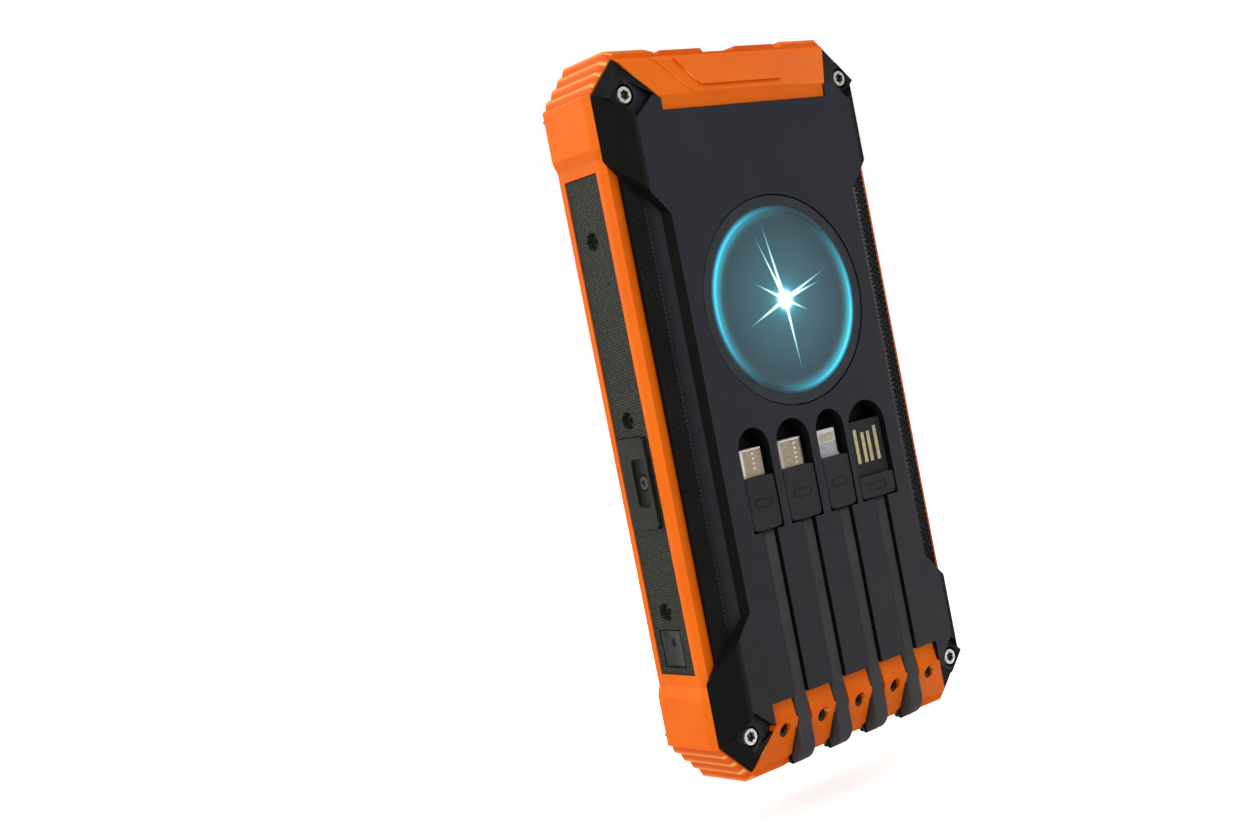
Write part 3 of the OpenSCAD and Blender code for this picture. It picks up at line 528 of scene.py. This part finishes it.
def halo(m, dx, dz, r, width):
    total = 0.0
    for angle, offset, strength in GLOW_SIDES:
        away = m.math("SUBTRACT", r, RING_R + mm(offset))
        outside = m.remap(away, 0.0, mm(0.4), 1.0, 2.2)
        near = bell(m, m.math("MULTIPLY", away, outside), mm(width))
        lit = m.math("MULTIPLY", near, side_glow(m, dx, dz, r, angle, 1.6))
        total = m.math("ADD", m.math("MULTIPLY", lit, strength), total)
    return total


# Angle and length in millimetres of each painted ray of the starburst
RAYS = [(99.5, 21), (110.5, 18.5), (-86, 19), (-158, 15), (150.5, 11), (21, 16.5), (13.5, 14),
        (-27, 8.5)]


def painted_ray(m, dx, dz, angle, length):
    along = m.math("DIVIDE", towards(m, dx, dz, angle), mm(length))
    fade = m.math("SUBTRACT", 1.0, along, clamp=True)
    front = m.math("GREATER_THAN", along, 0.0)
    width = m.math("MULTIPLY", fade, mm(0.75))
    across = m.math("ABSOLUTE", towards(m, dx, dz, angle + 90))
    edge = m.math("SUBTRACT", 1.0, m.math("DIVIDE", across, m.math("ADD", width, mm(0.02))),
                  clamp=True)
    return m.math("MULTIPLY", m.math("MULTIPLY", edge, front), m.math("POWER", fade, 1.1))


def lit_pad():
    m = Nodes("pad")
    dx, dz, r = polar(m)
    inner = m.remap(r, RING_R - mm(0.3), RING_R + mm(0.5), 1, 0)
    middle = m.remap(r, 0.0, RING_R, 1, 0)
    # painted glow: the disc is lighter towards its centre
    disc = m.mix(middle, linear(58, 77, 86), linear(86, 127, 139))
    rim = m.mix(m.remap(m.noise(5, 3), 0.3, 0.7), linear(40, 45, 49), linear(48, 54, 58))
    # painted light: a bright centre with starburst rays, drawn as emission
    painted_star = m.math("MAXIMUM", bell(m, r, mm(2.0)), 0.0)
    for angle, length in RAYS:
        painted_star = m.math("MAXIMUM", painted_star, painted_ray(m, dx, dz, angle, length))
    # painted glow: a blue haze round the centre, the ring's light falling on the pad and a faint veil over the
    # disc
    blue = m.math("MULTIPLY", bell(m, r, mm(4.2)), 0.35)
    painted_glow = m.math("ADD", m.math("MULTIPLY", halo(m, dx, dz, r, 1.5), 0.8), blue)
    light = m.math("ADD", m.math("MULTIPLY", painted_star, 3.2), painted_glow)
    veil = m.math("MULTIPLY", m.math("MULTIPLY", middle, inner), 0.05)
    whiteness = m.remap(painted_star, 0.05, 0.5)
    m.set(Base_Color=m.mix(inner, rim, disc), Roughness=0.4, Specular_IOR_Level=0.25,
          Emission_Color=m.mix(whiteness, linear(60, 205, 225), linear(235, 252, 255)),
          Emission_Strength=m.math("ADD", light, veil))
    return m.bump(m.noise(0.3, 2), 0.01).material


def lit_ring():
    m = Nodes("ring")
    dx, dz, r = polar(m)
    lit = m.math("MULTIPLY", halo(m, dx, dz, r, 1.8), 1.4)
    top = m.math("MULTIPLY", side_glow(m, dx, dz, r, 85, 3.0), 0.12)
    m.set(Base_Color=m.mix(m.remap(m.noise(3), 0.3, 0.7), linear(42, 50, 56),
                           linear(52, 62, 70)),
          Roughness=0.3, Specular_IOR_Level=0.3,
          Emission_Color=m.mix(lit, linear(60, 140, 180), linear(60, 210, 240)),
          Emission_Strength=m.math("ADD", m.math("ADD", lit, top), 0.02))
    return m.bump(m.noise(0.5), 0.01).material


def smoked_window():
    """Near-black window with one green light shining through it."""
    m = Nodes("smoked")
    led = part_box("indicator_leds")[0] + Vector((mm(0.8), 0, mm(0.8)))
    x, _, z = m.axes()
    dx = m.math("SUBTRACT", x, led.x)
    dz = m.math("SUBTRACT", z, led.z)
    r = m.math("SQRT", m.math("ADD", m.math("MULTIPLY", dx, dx), m.math("MULTIPLY", dz, dz)))
    shine = m.math("ADD", m.math("MULTIPLY", bell(m, r, mm(0.7)), 5.0),
                   m.math("MULTIPLY", bell(m, r, mm(1.7)), 0.35))
    m.set(Base_Color=m.mix(m.remap(m.noise(6), 0.3, 0.7), linear(12, 13, 14), linear(20, 21, 23)),
          Roughness=0.12, Coat_Weight=0.5, Emission_Color=linear(60, 235, 90),
          Emission_Strength=shine)
    return m.bump(m.noise(3), 0.004).material


def corner_steel():
    """Bright turned steel, whitened past its own colour as a painted highlight; painted shade makes the six-lobed
    sockets of the corner screws near black.
    """
    m = Nodes("screw_bright")
    lo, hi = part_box("corner_screws")
    middle = (lo + hi) / 2
    x, _, z = m.axes()
    dx = m.math("SUBTRACT", m.math("ABSOLUTE", x), hi.x - mm(HEAD_R))
    up = m.math("ABSOLUTE", m.math("SUBTRACT", z, middle.z))
    dz = m.math("SUBTRACT", up, hi.z - middle.z - mm(HEAD_R))
    r = m.math("SQRT", m.math("ADD", m.math("MULTIPLY", dx, dx), m.math("MULTIPLY", dz, dz)))
    lobes = m.math("COSINE", m.math("MULTIPLY", m.math("ARCTAN2", dz, dx), 6.0))
    inside = m.math("ADD", r, m.math("MULTIPLY", lobes, mm(0.14)))
    # painted shade: near black inside the six-lobed socket
    socket = m.remap(inside, mm(1.12), mm(1.22), 1, 0)
    fine = m.remap(m.noise(0.5, 3), 0.35, 0.65)
    # painted highlight: the steel is near white
    steel = m.mix(fine, linear(214, 214, 208), linear(250, 250, 246))
    m.set(Base_Color=m.mix(socket, steel, m.mix(fine, linear(8, 8, 7), linear(96, 92, 78))),
          Metallic=0.55, Roughness=0.25)
    return m.bump(fine, 0.006).material


def plug_shell():
    """Warm satin steel, with a painted highlight where the shell rolls over to its sides, just below the tip and
    along the left edge of the micro and USB-C shells.
    """
    m = Nodes("plug_metal")
    fine = m.remap(m.noise(0.35, 3), 0.3, 0.7)
    # painted highlight: near white and less metallic on the sides, the tip and the left edges
    painted_edge_highlight = m.remap(m.math("ABSOLUTE", m.normal()[0]), 0.25, 0.6)
    x, _, z = m.axes()
    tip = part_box("usb_c_plug")[1].z
    painted_edge_highlight = m.math("MAXIMUM", painted_edge_highlight, m.remap(z, tip - mm(0.45), tip - mm(0.35)))
    for node in ("micro_usb_plug", "usb_c_plug"):
        lo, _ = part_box(node)
        band = m.math("ABSOLUTE", m.math("SUBTRACT", x, lo.x + mm(0.35)))
        painted_edge_highlight = m.math("MAXIMUM", painted_edge_highlight, m.remap(band, mm(0.4), mm(0.5), 1, 0))
    satin = m.mix(fine, linear(168, 150, 128), linear(200, 183, 161))
    m.set(Base_Color=m.mix(painted_edge_highlight, satin, linear(250, 248, 242)),
          Metallic=m.remap(painted_edge_highlight, 0, 1, 1.0, 0.35),
          Roughness=m.remap(fine, 0, 1, 0.3, 0.4))
    return m.bump(fine, 0.008).material


def phone_plug_metal():
    """White contact carrier at the tip, satin metal below."""
    m = Nodes("plug_white")
    _, _, z = m.axes()
    tip = m.remap(z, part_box("phone_contacts")[0].z - mm(0.5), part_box("phone_contacts")[0].z)
    fine = m.remap(m.noise(0.9, 3), 0.3, 0.7)
    m.set(Base_Color=m.mix(tip, m.mix(fine, linear(176, 178, 182), linear(198, 200, 204)),
                           m.mix(fine, linear(226, 230, 238), linear(240, 243, 248))),
          Metallic=m.remap(tip, 0, 1, 0.35, 0), Roughness=0.32)
    return m.bump(m.noise(0.4), 0.006).material


def clear_lens():
    m = Nodes("lens")
    rings = m.noise(1.5, 2)
    m.set(Base_Color=m.mix(rings, (0.86, 0.9, 0.92), (0.95, 0.97, 0.98)), Roughness=0.06,
          Transmission_Weight=0.85, IOR=1.49)
    return m.bump(rings, 0.02).material


def pouch_foil():
    m = Nodes("pouch")
    crinkle = m.cells(7, feature="SMOOTH_F1")
    m.set(Base_Color=m.mix(m.noise(12, 3), linear(150, 154, 160), linear(186, 190, 196)),
          Metallic=0.9, Roughness=m.remap(m.noise(3, 3), 0.3, 0.7, 0.3, 0.45))
    return m.bump(crinkle, 0.15).material


def circuit_board():
    """Solder mask with traces."""
    m = Nodes("board")
    trace = m.cells(1.6, feature="DISTANCE_TO_EDGE")
    line = m.remap(trace, 0.02, 0.08)
    m.set(Base_Color=m.mix(line, linear(40, 122, 66), linear(16, 74, 40)), Roughness=0.38,
          Coat_Weight=0.3)
    return m.bump(line, 0.03).material


MATERIALS = {
    "back_shell": back_shell(),
    "front_shell": front_shell(),
    "bumper": bumper_rubber(),
    "seal": moulded("seal", linear(20, 20, 20), linear(30, 30, 30), 0.7),
    "panel_substrate": moulded("panel_substrate", linear(26, 34, 30), linear(36, 46, 42), 0.5),
    "cell": moulded("cell", linear(40, 48, 66), linear(58, 66, 84), 0.3, metal=0.4, blotch=5),
    "glaze": panel_face(),
    "pad": lit_pad(),
    "ring": lit_ring(),
    "copper": metal("copper", linear(168, 92, 50), linear(206, 124, 74), 0.3),
    "ferrite": moulded("ferrite", linear(44, 44, 46), linear(60, 60, 62), 0.55),
    "pouch": pouch_foil(),
    "foam": moulded("foam", linear(26, 26, 28), linear(44, 44, 46), 0.9, grain=0.6, depth=0.2),
    "board": circuit_board(),
    "port_metal": metal("port_metal", linear(150, 150, 152), linear(190, 190, 192), 0.3),
    "led_green": moulded("led_green", linear(70, 190, 90), linear(110, 225, 120), 0.3),
    "smoked": smoked_window(),
    "led_white": moulded("led_white", linear(222, 214, 150), linear(240, 236, 200), 0.4),
    "reflector": metal("reflector", linear(205, 207, 210), linear(235, 236, 238), 0.12),
    "lens": clear_lens(),
    "strip": woven_strip(),
    "strip_plate": moulded("strip_plate", linear(26, 27, 22), linear(37, 38, 32), 0.5,
                           depth=0.05, blotch=6),
    "screw_dark": metal("screw_dark", linear(66, 64, 60), linear(118, 114, 108), 0.35),
    "screw_bright": corner_steel(),
    "button": moulded("button", linear(17, 18, 16), linear(27, 28, 25), 0.28, coat=0.12, depth=0.01,
                      shine=0.3),
    "switch": moulded("switch", linear(120, 120, 122), linear(150, 150, 152), 0.4),
    "flap": moulded("flap", linear(44, 46, 49), linear(58, 60, 64), 0.58, depth=0.04),
    "boot": moulded("boot", linear(28, 28, 30), linear(40, 40, 43), 0.55, depth=0.03),
    "wire": moulded("wire", linear(140, 24, 22), linear(170, 36, 32), 0.45),
    "cable": moulded("cable", linear(52, 51, 53), linear(61, 60, 62), 0.55, depth=0.03),
    "overmould": moulded("overmould", linear(32, 31, 34), linear(39, 38, 42), 0.5, depth=0.03),
    "plug_metal": plug_shell(),
    "plug_white": phone_plug_metal(),
    "contact": metal("contact", linear(206, 190, 142), linear(228, 216, 172), 0.3),
}
# painted shade: a darker copy of the dark screw steel, for the bumper screws deep in their holes
SHADED_SCREW_STEEL = metal("shaded_screw_steel", linear(40, 38, 36), linear(84, 80, 76), 0.35)
GRIP = grip_plastic()
# painted highlight: near-white latch dimples on the steel plug shells
DIMPLE_HIGHLIGHT = moulded("dimple", linear(226, 222, 212), linear(250, 248, 242), 0.3, depth=0.004)
# painted highlight: a lighter, bluish plastic along the grip ridges
RIDGE_HIGHLIGHT = moulded("ridge", linear(30, 30, 35), linear(44, 44, 51), 0.5, depth=0.01, shine=0.15)


def dress_cad_nodes():
    """Every CAD node takes the material of its own slot in the record, except the bumper screws, which take a
    darker copy of the screw steel as painted shade.
    """
    slot_of = {}
    for part in frame["record"]["subparts"]:
        slot_of[part["node"]] = part["material_slot"]
    for name, obj in NODES.items():
        material = MATERIALS[slot_of[name]]
        if not obj.material_slots:
            obj.data.materials.append(material)
        for own in obj.material_slots:
            own.material = material
    # the bumper screws take the darker, painted-shade copy of the screw steel
    for own in NODES["bumper_screws"].material_slots:
        own.material = SHADED_SCREW_STEEL


def soften_cad_nodes():
    widths = {"bumper_frame": 0.38, "back_cover": 0.25, "front_cover": 0.25, "panel_glaze": 0.15,
              "wireless_pad": 0.12, "side_strip_left": 0.12, "side_strip_right": 0.12,
              "strap_plate_left": 0.2, "strap_plate_right": 0.2, "power_button": 0.3,
              "torch_button": 0.3, "port_cover": 0.15, "micro_usb_plug": 0.12,
              "window_lens": 0.15, "torch_lenses": 0.15, "battery_cell_back": 0.6,
              "battery_cell_front": 0.6}
    for name, width in widths.items():
        soften(name, width)
    for name in ("usb_c_plug", "light_ring", "cable_leads", "charging_coil"):
        soften(name, 0.08, segments=1, angle=50)


# ---------- outlines ----------

def round_rect(half_x, half_y, corner, steps=5):
    """Points round a rectangle with round corners, from its +X +Y corner."""
    points = []
    for k, (sx, sy) in enumerate(((1, 1), (-1, 1), (-1, -1), (1, -1))):
        for i in range(steps + 1):
            a = math.radians(90 * (k + i / steps))
            points.append((sx * (half_x - corner) + corner * math.cos(a),
                           sy * (half_y - corner) + corner * math.sin(a)))
    return points


def corner_rect(x0, x1, z0, z1, low, high, steps=6):
    """A rectangle in x and z with its own corner radius below and above."""
    points = []
    spots = ((x1, z1, -1, -1, high), (x0, z1, 1, -1, high), (x0, z0, 1, 1, low),
             (x1, z0, -1, 1, low))
    for k, (x, z, sx, sz, r) in enumerate(spots):
        for i in range(steps + 1):
            a = math.radians(90 * (k + i / steps))
            points.append((x + sx * r + r * math.cos(a), z + sz * r + r * math.sin(a)))
    return points


def slab(bm, outline, depth0, depth1):
    """A flat piece: an (x, z) outline in millimetres between two depths."""
    prism(bm, outline, lambda p: at(p[0], depth0, p[1]), lambda p: at(p[0], depth1, p[1]))


def local(point):
    """A point of the frame in millimetres across, below the back plane, above mid-length."""
    return (point.x * 1000, (point.y - CASE_BACK) * 1000, (point.z - MID) * 1000)


# ---------- cables, their boots and heads ----------

def joint_centre(cable):
    joint = next(j for j in frame["joints"] if j["name"] == cable + "_cable_swing")
    return local(Vector(joint["pos_m"]))


CABLE_LO, CABLE_HI = (local(p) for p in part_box("usb_c_cable"))
CABLE_R = (CABLE_HI[0] - CABLE_LO[0]) / 2
CABLE_DEPTH = CABLE_LO[1] + CABLE_R


def arc_ring(x, centre, radius, angle, section):
    """A section standing across a turn about X, angle from +Y towards +Z."""
    _, depth, up = centre
    a = math.radians(angle)
    return [at(x + u, depth + (radius + v) * math.cos(a), up + (radius + v) * math.sin(a))
            for u, v in section]


def make_cable(cable):
    centre = joint_centre(cable)
    x = centre[0]
    radius = centre[1] - CABLE_DEPTH
    top = local(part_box(cable + "_cable")[1])[2]
    section = round_rect(CABLE_R, CABLE_R, 0.75)
    rings = []
    count = 26
    for i in range(count):
        up = top + (centre[2] - top) * i / count
        rings.append([at(x + u, CABLE_DEPTH - v, up) for u, v in section])
    for i in range(17):
        rings.append(arc_ring(x, centre, radius, 180 + 90 * i / 16, section))
    bm = bmesh.new()
    sweep(bm, rings)
    obj = piece(cable + "_jacket", bm, cable + "_lead", MATERIALS["cable"],
                [cable + "_cable"], smooth=True)
    modifier(obj, "WEIGHTED_NORMAL", keep_sharp=True)
    return obj


def make_boots():
    """Hollow ribbed sleeves round the last quarter of each cable's turn."""
    bm = bmesh.new()
    ribs = 6
    for cable in CABLES:
        centre = joint_centre(cable)
        radius = centre[1] - CABLE_DEPTH
        outer, inner = [], []
        steps = 8 * ribs
        for i in range(steps + 1):
            share = i / steps
            angle = 272 + 88 * share
            proud = 0.5 + 0.5 * math.cos(2 * math.pi * ribs * share)
            r = CABLE_R + 0.18 + 0.27 * min(1.0, max(0.0, 1.6 * proud - 0.3))
            outer.append(arc_ring(centre[0], centre, radius, angle, round_rect(r, r, 0.85)))
            r = CABLE_R + 0.1
            inner.append(arc_ring(centre[0], centre, radius, angle, round_rect(r, r, 0.78)))
        sweep(bm, outer + inner[::-1] + outer[:1], closed_ends=False)
    bmesh.ops.remove_doubles(bm, verts=bm.verts, dist=mm(0.001))
    piece("ribbed_boots", bm, "case", MATERIALS["boot"], ["cable_boots"], smooth=True)


def make_head(cable):
    """Overmoulded head: sharp shoulders at the plug, round corners at the cable."""
    lo, hi = (local(p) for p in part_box(cable + "_head"))
    bm = bmesh.new()
    outline = corner_rect(lo[0], hi[0], lo[2], hi[2], 1.5, 0.45)
    slab(bm, outline, lo[1], hi[1])
    obj = piece(cable + "_grip", bm, cable + "_lead", MATERIALS["overmould"],
                [cable + "_head"])
    bevel(obj, 0.35, 3, 40)
    return lo, hi


def raised_frame(bm, outer, inner, base, top):
    """A raised line between two outlines with the same number of points, in (x, z)."""
    rings = [[at(x, base, z) for x, z in outer], [at(x, top, z) for x, z in outer],
             [at(x, top, z) for x, z in inner], [at(x, base, z) for x, z in inner]]
    sweep(bm, rings + rings[:1], closed_ends=False)
    bmesh.ops.remove_doubles(bm, verts=bm.verts, dist=mm(0.0001))


def plug_symbol(cable, x, z, w, h, line):
    """Outline of the plug's own mouth, outer or inner edge of the raised line."""
    w, h = w - line, h - line
    if cable == "usb_c" or cable == "phone":
        return [(x + u, z + v) for u, v in round_rect(w, h, h * 0.98, 6)]
    if cable == "usb_a":
        return [(x + u, z + v) for u, v in round_rect(w, h, h * 0.2, 6)]
    shape = [(-w, h), (w, h), (w, 0.0), (w * 0.7, -h), (-w * 0.7, -h), (-w, 0.0)]
    return [(x + u, z + v) for u, v in shape]


def make_head_marks():
    """A raised outline of each plug's mouth on its head, instead of lettering."""
    for cable in CABLES:
        lo, hi = (local(p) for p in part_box(cable + "_head"))
        x, z = (lo[0] + hi[0]) / 2, (lo[2] + hi[2]) / 2
        wide = min(3.0, (hi[0] - lo[0]) * 0.3)
        bm = bmesh.new()
        outer = plug_symbol(cable, x, z, wide, 1.15, 0.0)
        inner = plug_symbol(cable, x, z, wide, 1.15, 0.4)
        raised_frame(bm, outer, inner, lo[1] + 0.1, lo[1] - 0.09)
        obj = piece(cable + "_mark", bm, cable + "_lead", MATERIALS["seal"])
        bevel(obj, 0.05, 2, 40)


def make_plug_details():
    """Latch dimples along the micro and USB-C shells, near white as a painted highlight."""
    for cable, offset, count in (("micro_usb", 0.5, 4), ("usb_c", 1.2, 5)):
        lo, hi = (local(p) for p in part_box(cable + "_plug"))
        x = (lo[0] + hi[0]) / 2 + offset
        bm = bmesh.new()
        for i in range(count):
            z = hi[2] - 1.3 - i * 1.15
            slab(bm, corner_rect(x - 0.32, x + 0.32, z - 0.3, z + 0.3, 0.12, 0.12),
                 lo[1] + 0.1, lo[1] - 0.05)
        obj = piece(cable + "_dimples", bm, cable + "_lead", DIMPLE_HIGHLIGHT)
        bevel(obj, 0.04, 2, 40)


# ---------- side grips ----------

RECESS_INNER = (30.9, 2.6)           # across, depth of the long recess by the face
RECESS_OUTER = (38.8, 4.6)           # and by the rail


def grip_depth(x):
    """Depth of the recess floor at x: it falls away towards the rail."""
    (x0, depth0), (x1, depth1) = RECESS_INNER, RECESS_OUTER
    return depth0 + (abs(x) - x0) * (depth1 - depth0) / (x1 - x0)


def make_side_grips():
    """Small six-sided studs on the outer half of each long recess."""
    radius, rise, pitch = 0.78, 0.2, 1.5
    half = 52
    rows = int(2 * half / pitch)
    for side, name in ((-1, "left_grip"), (1, "right_grip")):
        bm = bmesh.new()
        for k, column in enumerate((35.6, 36.9, 38.2)):
            reach = 47 + (column - 30) * 0.95 - 1.2
            for i in range(rows + 1):
                z = -half + i * pitch + (pitch / 2 if k % 2 else 0)
                if abs(z) > reach:
                    continue
                stud(bm, side, column, z, radius, rise)
        obj = piece(name, bm, "case", GRIP)
        bevel(obj, 0.07, 2, 25)


def stud(bm, side, x, z, radius, rise):
    def ring(r, height):
        points = []
        for k in range(6):
            a = math.radians(60 * k)
            px = min(x + r * math.cos(a), RECESS_OUTER[0] - 0.05)
            points.append(at(side * px, grip_depth(px) - height, z + r * math.sin(a)))
        return points
    sweep(bm, [ring(radius, -0.1), ring(radius, 0.08), ring(radius * 0.78, rise)])


def make_grip_ridges():
    """The toothed ridge between the smooth and the studded half of each recess, in a lighter bluish plastic as a
    painted highlight.
    """
    for side, name in ((-1, "left_ridge"), (1, "right_ridge")):
        bm = bmesh.new()
        count = 90
        half, tooth = 49.5, 0.47
        for i in range(count):
            z = -half + (i + 0.5) * 2 * half / count
            x0, x1, x2 = 34.0, 34.55, 35.0
            lower = [at(side * x0, grip_depth(x0) + 0.3, z - tooth),
                     at(side * x2, grip_depth(x2) + 0.3, z - tooth),
                     at(side * x2, grip_depth(x2) + 0.3, z + tooth),
                     at(side * x0, grip_depth(x0) + 0.3, z + tooth)]
            upper = [at(side * x0, grip_depth(x0) + 0.02, z - tooth),
                     at(side * x1, grip_depth(x1) - 0.3, z - 0.2),
                     at(side * x1, grip_depth(x1) - 0.3, z + 0.25),
                     at(side * x0, grip_depth(x0) + 0.02, z + tooth)]
            sweep(bm, [lower, upper])
        obj = piece(name, bm, "case", RIDGE_HIGHLIGHT)
        bevel(obj, 0.05, 2, 25)


# ---------- solar panel ----------

FINGERS_ON_CELL = 7
FINGER_PITCH = 1.57
FINGER_HALF = 0.075                  # half a line's width
FINGER_NEAR, FINGER_FAR = 2.1, 30.2  # ends of the lines, across


def make_fingers():
    """Silver collector lines: seven across every cell, in two rows."""
    bm = bmesh.new()
    face = PANEL_HI.y
    cells_lo, cells_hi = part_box("solar_cells")
    pitch = (cells_hi.z - cells_lo.z + mm(CELL_GAP)) / CELLS_IN_ROW
    for row in (-1, 1):
        x0, x1 = sorted((row * mm(FINGER_NEAR), row * mm(FINGER_FAR)))
        for i in range(CELLS_IN_ROW):
            middle = MID + (i - (CELLS_IN_ROW - 1) / 2) * pitch
            for k in range(FINGERS_ON_CELL):
                z = middle + mm(FINGER_PITCH) * (k - FINGERS_ON_CELL // 2)
                box(bm, Vector((x0, face - mm(0.05), z - mm(FINGER_HALF))),
                    Vector((x1, face + mm(0.02), z + mm(FINGER_HALF))))
    obj = piece("cell_fingers", bm, "case", FINGERS)
    bevel(obj, 0.01, 1, 40)


# ---------- buttons, port cover and torches ----------

def ring_band(bm, centre, outward, r0, r1, base, top, a0=0, a1=360):
    """A raised ring, or part of one, on a face that looks along +X or -X."""
    def point(r, a, h):
        return Vector((outward * (centre.x + h), centre.y + r * math.sin(a),
                       centre.z + r * math.cos(a)))
    rings = []
    steps = 48
    whole = a1 - a0 >= 360
    for i in range(steps if whole else steps + 1):
        a = math.radians(a0 + (a1 - a0) * i / steps)
        rings.append([point(r0, a, base), point(r0, a, top), point(r1, a, top),
                      point(r1, a, base)])
    if whole:
        sweep(bm, rings + rings[:1], closed_ends=False)
        bmesh.ops.remove_doubles(bm, verts=bm.verts, dist=mm(0.0005))
    else:
        sweep(bm, rings)


def make_button_marks():
    marks = (("power_button", -1, "power_key"), ("torch_button", 1, "torch_key"))
    for node, outward, body in marks:
        lo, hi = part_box(node)
        centre = (lo + hi) / 2
        centre.x = max(abs(lo.x), abs(hi.x))
        bm = bmesh.new()
        base, top = -mm(0.5), -mm(0.2)
        if node == "power_button":
            ring_band(bm, centre, outward, mm(1.5), mm(2.0), base, top, 35, 325)
            stem = Vector((outward * centre.x, centre.y, centre.z))
            box(bm, Vector((min(stem.x - mm(0.1), stem.x + mm(0.1)), stem.y - mm(0.25),
                            stem.z + mm(0.5))),
                Vector((max(stem.x - mm(0.1), stem.x + mm(0.1)), stem.y + mm(0.25),
                        stem.z + mm(2.4))))
        else:
            ring_band(bm, centre, outward, mm(1.5), mm(2.0), base, top)
        obj = piece(node + "_mark", bm, body, MATERIALS["button"])
        bevel(obj, 0.06, 2, 40)


def make_port_symbol():
    """A plain plug symbol moulded on the underside of the port cover."""
    lo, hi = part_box("port_cover")
    face = local(Vector((0, 0, lo.z)))[2] + 0.25
    middle = local((lo + hi) / 2)[1]
    bm = bmesh.new()

    def patch(x0, x1, d0, d1):
        points = [(x0, d0), (x1, d0), (x1, d1), (x0, d1)]
        prism(bm, points, lambda p: at(p[0], p[1], face + 0.15),
              lambda p: at(p[0], p[1], face - 0.16))
    patch(-2.2, 1.0, middle - 1.3, middle + 1.3)
    patch(1.0, 2.4, middle - 0.9, middle - 0.5)
    patch(1.0, 2.4, middle + 0.5, middle + 0.9)
    patch(-4.6, -2.2, middle - 0.2, middle + 0.2)
    obj = piece("port_symbol", bm, "port_flap", MATERIALS["flap"])
    bevel(obj, 0.06, 2, 40)


def make_lens_rings():
    """Fine rings moulded in the torch lenses."""
    lo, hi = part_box("torch_lenses")
    bm = bmesh.new()
    radius = (hi.y - lo.y) / 2
    for side in (-1, 1):
        x = side * (hi.x - radius)
        for share in (0.3, 0.5, 0.7):
            rings = []
            for i in range(48):
                a = 2 * math.pi * i / 48
                ring = []
                for r, h in ((-0.18, -0.05), (0, 0.1), (0.18, -0.05)):
                    reach = radius * share + mm(r)
                    ring.append(Vector((x + reach * math.cos(a),
                                        (lo.y + hi.y) / 2 + reach * math.sin(a), hi.z + mm(h))))
                rings.append(ring)
            sweep(bm, rings + rings[:1], closed_ends=False)
    bmesh.ops.remove_doubles(bm, verts=bm.verts, dist=mm(0.0005))
    piece("lens_rings", bm, "case", MATERIALS["lens"], smooth=True)


FINGERS = metal("fingers", linear(150, 155, 164), linear(196, 200, 206), 0.4)

dress_cad_nodes()
soften_cad_nodes()
for name in CABLES:
    make_cable(name)
    make_head(name)
make_head_marks()
make_plug_details()
make_boots()
make_side_grips()
make_grip_ridges()
make_fingers()
make_button_marks()
make_port_symbol()
make_lens_rings()

bpy.context.scene.view_settings.view_transform = "Standard"
